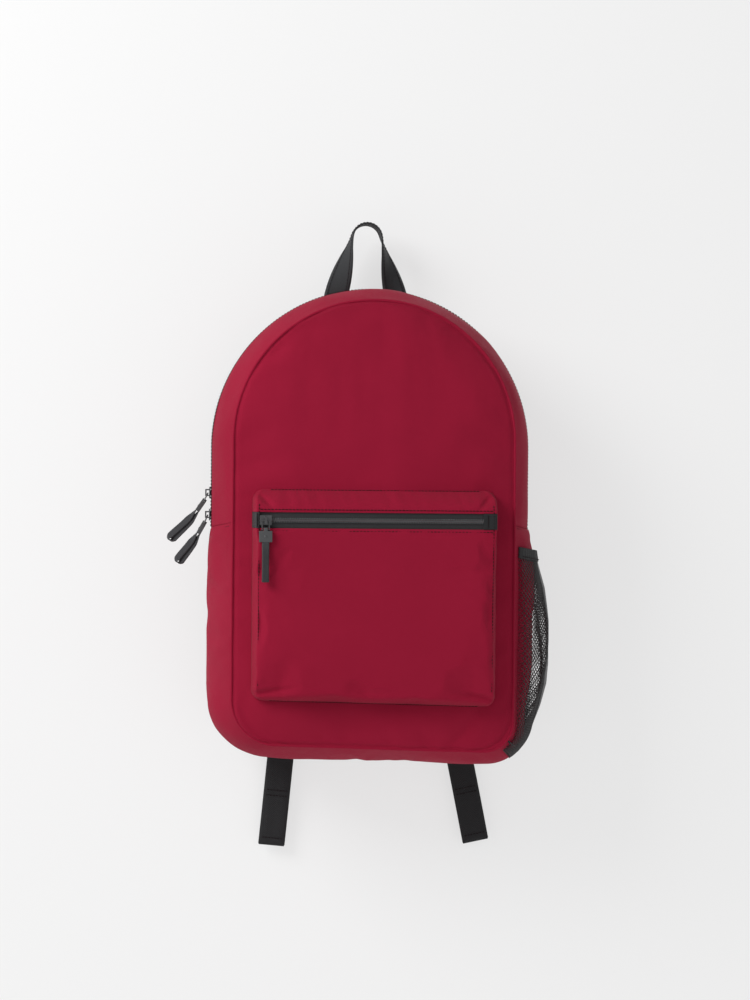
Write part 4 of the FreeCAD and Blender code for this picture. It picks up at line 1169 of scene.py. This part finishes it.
x = np.linspace(-POCKET_HALF + 6 * MM, POCKET_HALF - 6 * MM, 160)
pocket_line("pocket_stitch_over_zip", x, np.full_like(x, SLIT_TOP + TOPSTITCH))
pocket_line("pocket_stitch_under_zip", x, np.full_like(x, SLIT_LOW - TOPSTITCH))
for name, side in (("left", -1), ("right", 1)):
    z = np.linspace(POCKET_BASE + 14 * MM, POCKET_TOP - 14 * MM, 160)
    pocket_line("pocket_edge_stitch_" + name, side * (pocket_half_at(z) - 5.4 * MM), z)
x = np.linspace(-POCKET_HALF + 16 * MM, POCKET_HALF - 16 * MM, 160)
pocket_line("pocket_stitch_base", x, np.full_like(x, POCKET_BASE + 0.8 * MM), 0.5 * MM)
pocket_line("pocket_stitch_top", x, np.full_like(x, POCKET_TOP - 1.6 * MM))
for name, side in (("left", -1), ("right", 1)):
    x_line = TAB_LEFT - 1 * MM if side < 0 else TAB_RIGHT + 3 * MM
    z = np.linspace(SLIT_LOW + 1 * MM, SLIT_TOP - 1 * MM, 12)
    path = np.stack([np.full_like(z, x_line), pocket_face(np.full_like(z, x_line), z) - 0.6 * MM, z], 1)
    sewn(stitches("pocket_tab_stitch_" + name, path, (0, -1, 0), pitch=1.6 * MM), "black_webbing")
print("pocket", round(2 * POCKET_HALF / MM), "mm wide,", round((POCKET_TOP - POCKET_BASE) / MM), "mm tall")

# %% [markdown]
# ## Net pocket
# The side pocket is knitted net, cut wide and gathered into the seams, so it bellies away from the side
# and closes in again under the corner. The holes are real: a lattice of strands round small diamonds,
# with an elastic hem along the top and one pleat that shows as a darker strip.

# %% Knit the net and its hem
NET_HEM_HEIGHT = 9 * MM
NET_Y = (-6 * MM, -99 * MM)
HEM_Z = -304 * MM
BULGE_HEIGHTS = np.array([-500, -482, -462, -444, -425, -407, -388, -367, -337, -316, -304]) * MM
BULGE = np.array([0, 1, 5, 12, 17.5, 19.5, 20, 19, 15, 9.5, 8]) * MM


def net_point(across, s):
    """A point on the net: across runs from the back seam to the front one, s runs down the side."""
    y = NET_Y[0] + (NET_Y[1] - NET_Y[0]) * across
    base = round_the_bag(s, y)
    face = outward(s, y) * OUT_SIGN
    stand = np.interp(base[..., 2], BULGE_HEIGHTS, BULGE)
    profile = np.sin(np.clip(across, 0, 1) * math.pi) ** 0.55
    ripple = 1 + 0.06 * np.sin(across * 26 + base[..., 2] * 60)
    return base + face * (0.9 * MM + stand * profile * ripple)[..., None]


NET_FIRST = distance_at(HEM_Z, 1)
NET_LAST = NET_FIRST + 190 * MM
CELL_S, CELL_Y = 4.4 * MM, 3.6 * MM
GATHER = 1.22
YARN = 0.9 * MM
down_count = int((NET_LAST - NET_FIRST) / (CELL_S / 2))
across_count = int(abs(NET_Y[1] - NET_Y[0]) * GATHER / (CELL_Y / 2))
knots, index = [], {}
for j in range(down_count + 1):
    for i in range(across_count + 1):
        if (i + j) % 2 == 0:
            index[i, j] = len(knots)
            knots.append((i / across_count, NET_FIRST + j * CELL_S / 2))
places = net_point(np.array([k[0] for k in knots]), np.array([k[1] for k in knots]))
holes = [
    [index[i, j - 1], index[i + 1, j], index[i, j + 1], index[i - 1, j]]
    for j in range(1, down_count)
    for i in range(1, across_count)
    if (i + j) % 2 == 1
]
net_mesh = bpy.data.meshes.new("net_lattice")
net_mesh.from_pydata(places.tolist(), [], holes)
lattice = linked("net_lattice", net_mesh)
strands = lattice.modifiers.new("strands", "WIREFRAME")
strands.thickness = YARN
strands.offset = 0
strands.use_even_offset = False
strands.use_relative_offset = False


def finished(thing):
    """A mesh of an object as its modifiers leave it."""
    return bpy.data.meshes.new_from_object(thing.evaluated_get(bpy.context.evaluated_depsgraph_get()))


net = linked("side_net", finished(lattice))
bpy.data.objects.remove(lattice)
net.data.materials.clear()
net.data.materials.append(NET_YARN)
sewn(net, "net", "net_pocket")
print("net:", len(holes), "holes")

# %% The hem, the pleat and the tab
across = np.linspace(0, 1, 90)[None, :]
s = np.linspace(NET_FIRST - 1 * MM, NET_FIRST + NET_HEM_HEIGHT, 9)[:, None]
across, s = np.broadcast_arrays(across, s)
hem_grid = net_point(across, s)
hem_face = face_directions(hem_grid, False)
TURN_HEM = bool(hem_face[4, 45, 0] < 0)
hem_face = hem_face * (-1 if TURN_HEM else 1)
gather = 0.35 * MM * np.sin(across * 190)
hem_grid = hem_grid + hem_face * (0.9 * MM + gather)[..., None]
sewn(layer("net_hem", hem_grid, 1.8 * MM, [BINDING], hem_face, flip=TURN_HEM), "net_hem", "net_pocket_hem")
across = np.linspace(0.02, 0.98, 80)
line = net_point(across, np.full_like(across, NET_FIRST + NET_HEM_HEIGHT - 1.8 * MM))
lift = outward(np.full_like(across, NET_FIRST), NET_Y[0] + (NET_Y[1] - NET_Y[0]) * across) * OUT_SIGN
sewn(stitches("net_hem_stitch", line + lift * 1.4 * MM, (1, 0, 0)), "net_hem")
down_net = np.linspace(NET_FIRST + 8 * MM, NET_LAST - 10 * MM, 70)[:, None]
pleat = net_point(np.linspace(0.57, 0.69, 7)[None, :], down_net)
pleat_face = face_directions(pleat, False) * (-1 if TURN_HEM else 1)
pleat = pleat + pleat_face * 0.6 * MM
sewn(layer("net_pleat", pleat, 0.7 * MM, [NET_YARN], pleat_face, flip=TURN_HEM), "net")
tab_s = NET_LAST - 13 * MM
tab_foot = round_the_bag(tab_s, FRONT_Y + 4 * MM)
tab_out = outward(tab_s, FRONT_Y + 4 * MM) * OUT_SIGN
tab_points = [tab_foot + tab_out * step * MM for step in (0.2, 2.2, 4.2, 6.2)]
SIDE_TAB = (tab_points, [(0, 1, 0)] * 4)
print("net hem", NET_HEM_HEIGHT / MM, "mm tall")

# %% [markdown]
# ## Webbing
# The handle, the strap ends and the tails are all the same flat webbing. A strap is a section with round
# edges carried along a line, with a direction for its width at each point, so it can twist as the handle
# does between the back panel, where it lies flat, and the top, where it is gripped edge-on.


# %% The strap maker
def resample(points, ways, pitch):
    """Smooths a line of points and its width directions, and samples both at an even pitch."""
    points, ways = np.asarray(points, float), np.asarray(ways, float)
    far = far_along(points)
    count = max(int(far[-1] / pitch), 8)
    where = np.linspace(0, far[-1], count)
    line = np.stack([np.interp(where, far, points[:, k]) for k in range(3)], 1)
    wide = np.stack([np.interp(where, far, ways[:, k]) for k in range(3)], 1)
    for _ in range(6):
        line[1:-1] = (line[:-2] + 2 * line[1:-1] + line[2:]) / 4
        wide[1:-1] = (wide[:-2] + 2 * wide[1:-1] + wide[2:]) / 4
    return line, wide


def strap(name, points, ways, width, thick, finish, pitch=2.5 * MM, smooth=True):
    """A flat strap with round edges; its width may change along it."""
    line, wide = resample(points, ways, pitch) if smooth else (np.asarray(points), np.asarray(ways))
    along = unit(np.gradient(line, axis=0))
    wide = unit(wide - along * np.sum(wide * along, axis=1, keepdims=True))
    deep = np.cross(along, wide)
    count = len(line)
    where = np.linspace(0, 1, count)
    width = np.interp(where, np.linspace(0, 1, np.size(width)), np.atleast_1d(width))
    top = [(a, math.sqrt(max(1 - abs(a) ** 10, 0)) ** 0.5) for a in np.linspace(-1, 1, 11)]
    ring = np.array(top + [(a, -b) for a, b in top[::-1][1:-1]])
    grid = (
        line[:, None]
        + wide[:, None] * (ring[None, :, 0:1] * width[:, None, None] / 2)
        + deep[:, None] * (ring[None, :, 1:2] * thick / 2)
    )
    sides = len(ring)
    last = (count - 1) * sides
    faces = grid_faces(count, sides, 0, True, True)
    faces += [list(range(sides)), list(range(last, last + sides))[::-1]]
    across = ring[None, :, 0] * width[:, None] / 2
    far = np.broadcast_to(far_along(line)[:, None], across.shape)
    lengths = np.stack([across, far], -1).reshape(-1, 2)
    return add_piece(name, grid.reshape(-1, 3), faces, lengths, [finish]), (line, wide, deep)


def strap_stitches(name, strap_line, offsets, lift, slot):
    """Rows of stitches along a strap, each at an offset across it, on its face at height lift."""
    line, wide, deep = strap_line
    for index, offset in enumerate(offsets):
        path = line + wide * offset + deep * lift
        sewn(stitches(f"{name}_{index}", path, deep * np.sign(lift)), slot)


# %% The grab handle
HANDLE_LOW, HANDLE_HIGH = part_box("grab_handle")
WEBBING = 25 * MM
WEBBING_THICK = 1.6 * MM
HOOK_RADIUS = 13 * MM
LEG_X = HANDLE_HIGH.x - 11 * MM
GRIP_R = HOOK_RADIUS + WEBBING_THICK / 2
TOP_Z = HANDLE_HIGH.z - WEBBING_THICK - HOOK_RADIUS
LEG_TOP_Z = -70 * MM
SEWN_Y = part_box("back_panel")[1].y + WEBBING_THICK / 2
points, ways = [], []
for z in np.linspace(HANDLE_LOW.z, LEG_TOP_Z, 8):
    points.append((-LEG_X, SEWN_Y, z))
    ways.append((1, 0, 0))
for part in np.linspace(0, 1, 16)[1:]:
    turn = -part * math.pi / 2
    x = -(LEG_X - part * (LEG_X - GRIP_R))
    points.append((x, SEWN_Y * (1 - part), LEG_TOP_Z + part * (TOP_Z - LEG_TOP_Z)))
    ways.append((math.cos(turn), math.sin(turn), 0))
for turn in np.linspace(math.pi, math.pi / 2, 10)[1:]:
    points.append((GRIP_R * math.cos(turn), 0, TOP_Z + GRIP_R * math.sin(turn)))
    ways.append((0, -1, 0))
points += [(-x, y, z) for x, y, z in points[::-1][1:]]
ways += [(-x, y, z) for x, y, z in ways[::-1][1:]]
handle_widths = [22 * MM, 22 * MM, WEBBING, WEBBING, WEBBING, 22 * MM, 22 * MM]
piece, handle_line = strap("handle", points, ways, handle_widths, WEBBING_THICK, HANDLE_WEBBING, 1.8 * MM)
sewn(piece, "black_webbing", "grab_handle")
strap_stitches("handle_edge_stitch", handle_line, (-8 * MM, 8 * MM), -WEBBING_THICK / 2, "black_webbing")
print("handle:", round(float(far_along(handle_line[0])[-1]) * 1000), "mm of webbing")

# %% The yoke that covers the sewn ends
YOKE_LOW, YOKE_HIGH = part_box("strap_yoke")
yoke_z = (YOKE_LOW.z + YOKE_HIGH.z) / 2
yoke_y = (YOKE_LOW.y + YOKE_HIGH.y) / 2
points = [(x, yoke_y, yoke_z) for x in np.linspace(YOKE_LOW.x, YOKE_HIGH.x, 30)]
yoke_tall, yoke_thick = YOKE_HIGH.z - YOKE_LOW.z, YOKE_HIGH.y - YOKE_LOW.y
piece, yoke_line = strap("yoke", points, [(0, 0, 1)] * 30, yoke_tall, yoke_thick, BLACK_WEBBING)
sewn(piece, "black_webbing", "strap_yoke")
side = 1 if yoke_line[2][5, 1] > 0 else -1
inset = yoke_tall / 2 - 2 * MM
strap_stitches("yoke_stitch", yoke_line, (-inset, inset), side * yoke_thick / 2, "black_webbing")
piece, _ = strap("side_tab", *SIDE_TAB, 7 * MM, 1.6 * MM, BINDING, 0.8 * MM)
sewn(piece, "net_hem")
print("yoke", round(yoke_tall / MM), "mm tall")

# %% [markdown]
# ## Back and shoulder straps
# The back pad is foam under spacer mesh, quilted in channels. Each shoulder strap is foam in a cloth
# cover, bound round its edge with folded tape, thicker along its middle than at its edges.

# %% The back pad
PAD_LOW, PAD_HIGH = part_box("back_foam_pad")
PAD_EDGE = 0.6 * MM
CHANNEL_X, RUNG_PITCH, QUILT_WIDE = 26 * MM, 54 * MM, 3.2 * MM
u = np.linspace(-1, 1, 91)[None, :]
z = np.linspace(PAD_LOW.z, PAD_HIGH.z, 133)[:, None]
top_cut = np.clip((z - (PAD_HIGH.z - 36 * MM)) / (36 * MM), 0, 1)
base_cut = np.clip((PAD_LOW.z + 16 * MM - z) / (16 * MM), 0, 1)
half = PAD_HIGH.x - 34 * MM * top_cut ** 1.6 - 16 * MM * (1 - np.sqrt(1 - base_cut ** 2))
x = u * half
z = np.broadcast_to(z, x.shape)
edge = np.minimum(np.minimum(half - np.abs(x), z - PAD_LOW.z), PAD_HIGH.z - z)
swell = np.clip(edge / (9 * MM), 0, 1) ** 0.5
channel = np.exp(-((np.abs(x) - CHANNEL_X) / QUILT_WIDE) ** 2)
from_rung = (z - PAD_LOW.z) % RUNG_PITCH - RUNG_PITCH / 2
rung = np.exp(-(from_rung / QUILT_WIDE) ** 2) * (np.abs(x) > CHANNEL_X)
deep = np.maximum(channel, rung)
pad_deep = PAD_HIGH.y - PAD_LOW.y
pad_y = PAD_LOW.y + PAD_EDGE + (pad_deep - PAD_EDGE) * swell * (1 - 0.55 * deep)
pad_grid = np.stack([x, pad_y, z], -1)
pad_piece = layer("back_pad", pad_grid, 0.5 * MM, [AIR_MESH], flip=TURN_BACK)
sewn(pad_piece, "foam", "back_foam_pad")
for name, side in (("left", -1), ("right", 1)):
    rows = np.linspace(PAD_LOW.z + 12 * MM, PAD_HIGH.z - 12 * MM, 120)
    depth = PAD_LOW.y + PAD_EDGE + (pad_deep - PAD_EDGE) * 0.47
    line = np.stack([np.full_like(rows, side * CHANNEL_X), np.full_like(rows, depth), rows], 1)
    sewn(stitches("back_pad_stitch_" + name, line, (0, 1, 0), pitch=4 * MM), "foam")
print("back pad", round(pad_deep / MM, 1), "mm deep")

# %% The shoulder straps, with their binding
STRAPS = {"left": (-1, 2.0), "right": (1, 4.2)}
STRAP_X = 58 * MM
STRAP_TOP = -120 * MM
STRAP_WIDE = 56 * MM
STRAP_ROUTE = (
    # depth of the middle of the pad, height, thickness
    (6.4, -120.5, 5.0), (7.5, -128, 8.0), (12.0, -138, 10.5), (20.5, -149, 11.0), (24.2, -160, 11.0),
    (24.5, -200, 11.0), (24.5, -290, 11.0), (24.4, -370, 11.0), (22.5, -388, 10.5), (20.8, -399.0, 9.5),
)


def on_strap(side, splay, x, y, z):
    """A point given in a strap's own upright frame, turned by its splay."""
    turn = side * math.radians(splay)
    drop = z - STRAP_TOP
    return (
        side * STRAP_X + x * math.cos(turn) - drop * math.sin(turn),
        y,
        STRAP_TOP + drop * math.cos(turn) + x * math.sin(turn),
    )


def strap_way(side, splay):
    """The direction across a strap."""
    return np.array(on_strap(side, splay, 1, 0, 0)) - np.array(on_strap(side, splay, 0, 0, 0))


for name, (side, splay) in STRAPS.items():
    way = strap_way(side, splay)
    route = [on_strap(side, splay, 0, y * MM, z * MM) for y, z, _ in STRAP_ROUTE]
    heights = np.linspace(0, 1, 60)
    far = far_along(np.array(route))
    thick = np.interp(heights, far / far[-1], [t * MM for _, _, t in STRAP_ROUTE])
    line, wide = resample(route, [way] * len(route), 4 * MM)
    deep = np.cross(unit(np.gradient(line, axis=0)), unit(wide))
    wide = np.broadcast_to(way, line.shape)
    rows = len(line)
    thick = np.interp(np.linspace(0, 1, rows), heights, thick)
    tapered = np.clip((np.linspace(1, 0, rows)) / 0.05, 0, 1)
    width = STRAP_WIDE * (0.80 + 0.20 * np.sqrt(1 - (1 - tapered) ** 2))
    turns = np.linspace(0, 2 * math.pi, 44, endpoint=False)
    a, b = np.cos(turns), np.sin(turns)
    ring_x = np.sign(a) * np.abs(a) ** 0.5
    ring_y = np.sign(b) * np.abs(b) ** 0.75
    lumps = 1 + 0.03 * np.sin(np.linspace(0, 21, rows))
    grid = (
        line[:, None]
        + wide[:, None] * (ring_x[None, :, None] * (width / 2 - 0.8 * MM)[:, None, None])
        + deep[:, None] * (ring_y[None, :, None] * (thick / 2 * lumps)[:, None, None])
    )
    flip = bool(np.dot(face_directions(grid, True)[rows // 2, 0], way) < 0)
    piece = layer("strap_" + name, grid, 0.8 * MM, [STRAP_CLOTH], flip=flip, closed=True)
    sewn(piece, "strap_cover", "shoulder_strap_" + name, "strap_foam_" + name)
    for end, index in (("top", 0), ("base", rows - 1)):
        ring = grid[index]
        middle = ring.mean(axis=0)
        cap = np.stack([middle + (ring - middle) * part for part in (0.02, 0.35, 0.7, 1.0)], 0)
        cap_piece = layer(f"strap_end_{name}_{end}", cap, 0.5 * MM, [STRAP_CLOTH], flip=False, closed=True)
        sewn(cap_piece, "strap_cover")
    for edge, sign in (("inner", -1), ("outer", 1)):
        path = line[3:-2] + wide[3:-2] * (sign * (width / 2 - 1.7 * MM))[3:-2, None]
        piece = tube(f"strap_binding_{name}_{edge}", path, 2.6 * MM, BINDING, 12, False, 0.75, deep[3:-2])
        sewn(piece, "binding")
        for face, up in (("near", -1), ("far", 1)):
            reach = thick / 2 * 0.80
            edge_path = path + wide[3:-2] * (-sign * 3.5 * MM) + deep[3:-2] * (up * reach[3:-2, None])
            lift = deep[3:-2] * up
            sewn(stitches(f"strap_stitch_{name}_{edge}_{face}", edge_path, lift, pitch=3.4 * MM), "binding")
print("straps and back pad made")

# %% [markdown]
# ## Strap ends
# A ladder lock hangs from each strap on a loop of webbing. The lower webbing comes up from a wing of
# cloth in the back seam, goes round the lock's bars and hangs out of it as a tail with a sewn hem.


# %% Hard parts from the frame, with their edges eased
def eased(node, name, finish, slot_name, body, ease=0.35 * MM, segments=3):
    """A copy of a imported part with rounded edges."""
    source = [item for item in bpy.data.objects if item.type == "MESH" and item.name == node]
    if not source:
        source = [item for item in bpy.data.objects if item.type == "MESH" and item.data.name == node]
    copy = bpy.data.meshes.new_from_object(source[0])
    copy.transform(source[0].matrix_world)
    piece = linked(name, copy)
    weld = piece.modifiers.new("weld", "WELD")
    weld.merge_threshold = 0.00001
    bevel = piece.modifiers.new("ease", "BEVEL")
    bevel.width = ease
    bevel.segments = segments
    bevel.limit_method = "ANGLE"
    bevel.angle_limit = math.radians(35)
    bevel.harden_normals = False
    final = finished(piece)
    piece.modifiers.clear()
    piece.data = final
    final.materials.clear()
    final.materials.append(finish)
    final.polygons.foreach_set("material_index", [0] * len(final.polygons))
    final.polygons.foreach_set("use_smooth", [True] * len(final.polygons))
    final.set_sharp_from_angle(angle=math.radians(50))
    return sewn(piece, slot_name, node, body=body)


NARROW = WEBBING - 4 * MM
LOOP_TALL, LOOP_DEEP = 3.9 * MM, 2.7 * MM
for name, (side, splay) in STRAPS.items():
    eased("ladder_lock_" + name, "lock_" + name, ACETAL, "ladder_plastic", "root", 0.8 * MM)
    low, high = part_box("lock_loop_" + name)
    way = strap_way(side, splay)
    down = np.array(on_strap(side, splay, 0, 0, -1)) - np.array(on_strap(side, splay, 0, 0, 0))
    lock_low, lock_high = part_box("ladder_lock_" + name)
    top_bar = np.array([(low.x + high.x) / 2, (lock_low.y + lock_high.y) / 2, (low.z + high.z) / 2])
    backward = np.array([0, LOOP_DEEP, 0])
    turns = np.linspace(0, 2 * math.pi, 40)
    points = [top_bar + backward * math.sin(turn) - down * math.cos(turn) * LOOP_TALL for turn in turns]
    piece, _ = strap("loop_" + name, points, [way] * 40, NARROW, WEBBING_THICK, BLACK_WEBBING, 0.8 * MM)
    sewn(piece, "black_webbing", "lock_loop_" + name)
print("ladder locks hung from", len(STRAPS), "loops")

# %% Wings, lower webbing and tails
JOINT_AT = {joint["name"]: joint.get("pos_m") for joint in frame["joints"]}
TAIL_LEAN = {"left": 5.5, "right": 11.5}
TAIL_LONG, TAIL_HEM = 160 * MM, 51 * MM
WING_START = (97 * MM, 5.8 * MM, -458 * MM)
for name, (side, splay) in STRAPS.items():
    low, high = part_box("anchor_wing_" + name)
    outer_x, inner_x = (low.x, high.x) if side < 0 else (high.x, low.x)
    part = np.linspace(0, 1, 25)[None, :]
    x = outer_x + (inner_x - outer_x) * part
    # the wing narrows from the back seam to the webbing it holds
    base_outer, top_outer = low.z + 14 * MM, high.z
    base_edge = base_outer + (low.z - base_outer) * part
    top_edge = top_outer + (low.z + 28 * MM - top_outer) * part
    tall = np.linspace(0, 1, 21)[:, None]
    x, tall = np.broadcast_arrays(x, tall)
    z = base_edge + (top_edge - base_edge) * tall
    wing = np.stack([x, np.full_like(x, high.y), z], -1)
    wing_face = np.broadcast_to(np.array([0, 1.0, 0]), wing.shape)
    flip = bool(face_directions(wing, False)[10, 12, 1] < 0)
    piece = layer("wing_" + name, wing, 1.9 * MM, [RED], wing_face, flip=flip)
    sewn(piece, "red_fabric", "anchor_wing_" + name)
    for row, part_up in (("low", 0.08), ("high", 0.92)):
        index = int(part_up * 20)
        sewn(stitches(f"wing_stitch_{name}_{row}", wing[index], (0, 1, 0)), "red_fabric")
    # the lower webbing: up from the wing, under the lock and into its slot
    lock_low, lock_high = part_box("ladder_lock_" + name)
    lock_x = (lock_low.x + lock_high.x) / 2
    way_lock = strap_way(side, splay)
    start = np.array([side * WING_START[0], *WING_START[1:]])
    slot_at = np.array([lock_x, lock_low.y + 2 * MM, lock_low.z + 6.9 * MM])
    under_at = np.array([lock_x + side * 0.2 * MM, lock_low.y - 1.1 * MM, lock_low.z + 4.2 * MM])
    near_at = np.array([lock_x + side * 3 * MM, 10.8 * MM, lock_low.z - 5 * MM])
    run = near_at - start
    wing_way = unit(np.array([-run[2], 0, run[0]]))
    if np.dot(wing_way, way_lock) < 0:
        wing_way = -wing_way
    steps = np.linspace(0, 1, 12)
    route = [start + run * k for k in steps] + [under_at, slot_at]
    ways = [wing_way + (way_lock - wing_way) * k for k in steps] + [way_lock, way_lock]
    piece, _ = strap("lower_strap_" + name, route, ways, NARROW, WEBBING_THICK, BLACK_WEBBING, 1.5 * MM)
    sewn(piece, "black_webbing", "lower_webbing_" + name)

    hinge = np.array(JOINT_AT[f"tail_{name}_swings"])
    low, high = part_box("webbing_tail_" + name)
    lean = side * math.radians(TAIL_LEAN[name])
    down = np.array([math.sin(lean), 0, -math.cos(lean)])
    way = np.array([math.cos(lean), 0, math.sin(lean)])
    drop = np.linspace(-4 * MM, TAIL_LONG, 80)
    bow = 1.2 * MM * np.sin(np.clip(drop / TAIL_LONG, 0, 1) * math.pi * 1.3) ** 2
    depth = low.y + WEBBING_THICK / 2 + 0.05 * MM + bow
    route = hinge[None, :] + down[None, :] * drop[:, None]
    route[:, 1] = depth
    tail, _ = strap("tail_" + name, route, [way] * 80, WEBBING, WEBBING_THICK, BLACK_WEBBING)
    sewn(tail, "black_webbing", "webbing_tail_" + name, body="tail_" + name)
    hem_route = route[drop >= TAIL_LONG - TAIL_HEM] + np.array([0, WEBBING_THICK, 0])
    ways = [way] * len(hem_route)
    hem, _ = strap("tail_hem_" + name, hem_route, ways, WEBBING - 0.6 * MM, WEBBING_THICK, BLACK_WEBBING)
    sewn(hem, "black_webbing", body="tail_" + name)
    fold = route[-1] + np.array([0, WEBBING_THICK / 2, 0]) - down * 0.4 * MM
    half = way * (WEBBING / 2 - 0.5 * MM)
    fold_line = np.linspace(fold - half, fold + half, 24)
    rolled = tube("tail_fold_" + name, fold_line, WEBBING_THICK, BLACK_WEBBING, 12, False)
    sewn(rolled, "black_webbing", body="tail_" + name)
    for face, out in (("front", -WEBBING_THICK / 2), ("back", 1.5 * WEBBING_THICK)):
        for row, up_mm in enumerate((51, 46, 6)):
            at = hinge + down * (TAIL_LONG - up_mm * MM)
            at[1] = np.interp(TAIL_LONG - up_mm * MM, drop, depth) + out
            half = way * (WEBBING / 2 - 2.5 * MM)
            line = np.linspace(at - half, at + half, 12)
            piece = stitches(f"tail_stitch_{name}_{face}_{row}", line, (0, np.sign(out), 0), pitch=2.6 * MM)
            sewn(piece, "black_webbing", body="tail_" + name)
print("tails hang", round(TAIL_LONG / MM), "mm below their locks")

# %% [markdown]
# ## Inside
# Opened, the bag shows a flat sleeve for papers sewn to the back, with a bound upper edge.

# %% The sleeve
low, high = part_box("laptop_sleeve")
x = np.linspace(-1, 1, 81)[None, :] * (high.x - 0.5 * MM)
z = np.linspace(low.z, high.z, 91)[:, None]
x, z = np.broadcast_arrays(x, z)
side_rise = rise((high.x - np.abs(x)) / (9 * MM))
base_rise = rise((z - low.z) / (12 * MM))
QUILT = 22 * MM
quilt = 0.5 * MM * np.cos(x / QUILT * math.pi) ** 2 * np.cos(z / QUILT * math.pi) ** 2
front = high.y - 0.8 * MM - (high.y - low.y - 1.2 * MM + quilt) * side_rise * base_rise
sleeve = np.stack([x, front, z], -1)
sewn(layer("sleeve", sleeve, 1.2 * MM, [LINING], flip=TURN_FRONT), "lining", "laptop_sleeve")
low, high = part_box("sleeve_binding")
middle_y, middle_z = (low.y + high.y) / 2, (low.z + high.z) / 2 - 1 * MM
points = [(x, middle_y, middle_z) for x in np.linspace(low.x + 8 * MM, high.x - 8 * MM, 60)]
edge_tall = high.z - low.z + 2 * MM
piece, sleeve_line = strap("sleeve_edge", points, [(0, 0, 1)] * 60, edge_tall, 2.2 * MM, BINDING)
sewn(piece, "binding", "sleeve_binding")
strap_stitches("sleeve_stitch", sleeve_line, (-1.5 * MM,), 1.1 * MM, "binding")
strap_stitches("sleeve_stitch_back", sleeve_line, (-1.5 * MM,), -1.1 * MM, "binding")
print("sleeve and its bound edge sewn")

# %% [markdown]
# ## Sliders and pulls
# Each slider is a small enamelled casting. A wire link hangs from its lug, a moulded cap turns on the
# link, and a folded ribbon is caught in the cap. The ribbon is soft and free; it is made as a flat strap
# along a smooth curve.


# %% Sliders, links and caps
def pull_route(name, sag, length):
    """The ribbon's line: down one layer, round the fold and up the other, beside its cap."""
    top = -CAP_REACH
    gap = 1.3 * MM
    low = top - length
    local = [
        (0, -gap, top),
        (0, -gap - 0.3 * MM - 0.15 * sag, top - 0.30 * length),
        (0, -gap - 0.9 * MM - 0.6 * sag, top - 0.62 * length),
        (0, -gap - 1.2 * MM - sag, top - 0.86 * length),
        (0, -gap - 0.6 * MM - 1.15 * sag, low),
        (0, gap + 0.8 * MM - 1.15 * sag, low + 0.4 * MM),
        (0, gap + 1.0 * MM - sag, top - 0.84 * length),
        (0, gap + 0.7 * MM - 0.6 * sag, top - 0.60 * length),
        (0, gap + 0.3 * MM - 0.15 * sag, top - 0.29 * length),
        (0, gap, top),
    ]
    facing, lean = PULL_TURNS[name]
    turn = Matrix.Rotation(math.radians(facing), 4, "Z") @ Matrix.Rotation(math.radians(-lean), 4, "X")
    at = Vector(JOINT_AT[f"{name}_pull_turns"])
    return [at + turn @ Vector(point) for point in local], turn, at


def spline_line(points):
    """Points along a smooth open curve through the route's corners."""
    curve = bpy.data.curves.new("route", "CURVE")
    curve.dimensions = "3D"
    spline = curve.splines.new("NURBS")
    spline.points.add(len(points) - 1)
    for knot, point in zip(spline.points, points):
        knot.co = (*point, 1)
    spline.order_u = 3
    spline.use_endpoint_u = True
    curve.resolution_u = 10
    holder = linked("route", curve)
    line = bpy.data.meshes.new_from_object(holder)
    found = [vertex.co.copy() for vertex in line.vertices]
    bpy.data.objects.remove(holder)
    return found


PULL_TURNS = {"main_upper": (-90, 34), "main_lower": (-90, 29), "pocket": (0, 2)}
PULL_SIZES = {"main_upper": (5 * MM, 36 * MM), "main_lower": (3 * MM, 32 * MM), "pocket": (0, 35 * MM)}
PULL_TWIST = {"main_upper": 60, "main_lower": 60, "pocket": 18}
RIBBON_WIDE = 6.5 * MM
RIBBON_THICK = 1.0 * MM
CAP_REACH = 11 * MM
for name, (sag, length) in PULL_SIZES.items():
    eased(name + "_slider", name + "_slider_body", ENAMEL, "slider_metal", name + "_slider", 0.3 * MM)
    eased(name + "_pull_link", name + "_wire_link", ENAMEL, "slider_metal", name + "_link", 0.15 * MM)
    eased(name + "_pull_cap", name + "_moulded_cap", RUBBER, "pull_cap_plastic", name + "_pull", 0.7 * MM, 4)
    route, turn, at = pull_route(name, sag, length)
    line_points = np.array([point[:] for point in spline_line(route)])
    way = np.array((turn @ Vector((1, 0, 0)))[:])
    # the two layers of a side pull turn their flat faces forward on the way down
    part = np.clip((np.linalg.norm(line_points - np.array(at[:]), axis=1) - CAP_REACH) / length, 0, 1)
    level = np.clip(part / 0.3, 0, 1) * np.clip((1.04 - part) / 0.12, 0.1, 1)
    twists = math.radians(PULL_TWIST[name]) * level
    ways = [np.array((turn @ Vector((math.cos(t), math.sin(t), 0)))[:]) for t in twists]
    ribbon, _ = strap(
        name + "_ribbon", line_points, ways, RIBBON_WIDE, RIBBON_THICK, PULL_RIBBON, smooth=False
    )
    sewn(ribbon, "pull_ribbon", name + "_pull_ribbon", body=name + "_pull")
    # a small moulded boss on the cap's outer face
    centre = at + turn @ Vector((0, -2.0 * MM, -6.2 * MM))
    out = np.array((turn @ Vector((0, -1, 0)))[:])
    boss_line = np.linspace(np.array(centre) - out * 0.4 * MM, np.array(centre) + out * 0.35 * MM, 5)
    radii = np.array([1.5, 1.5, 1.45, 1.25, 0.8]) * MM
    boss = tube(name + "_cap_boss", boss_line, radii, RUBBER, 16, False, lift=way)
    sewn(boss, "pull_cap_plastic", body=name + "_pull")
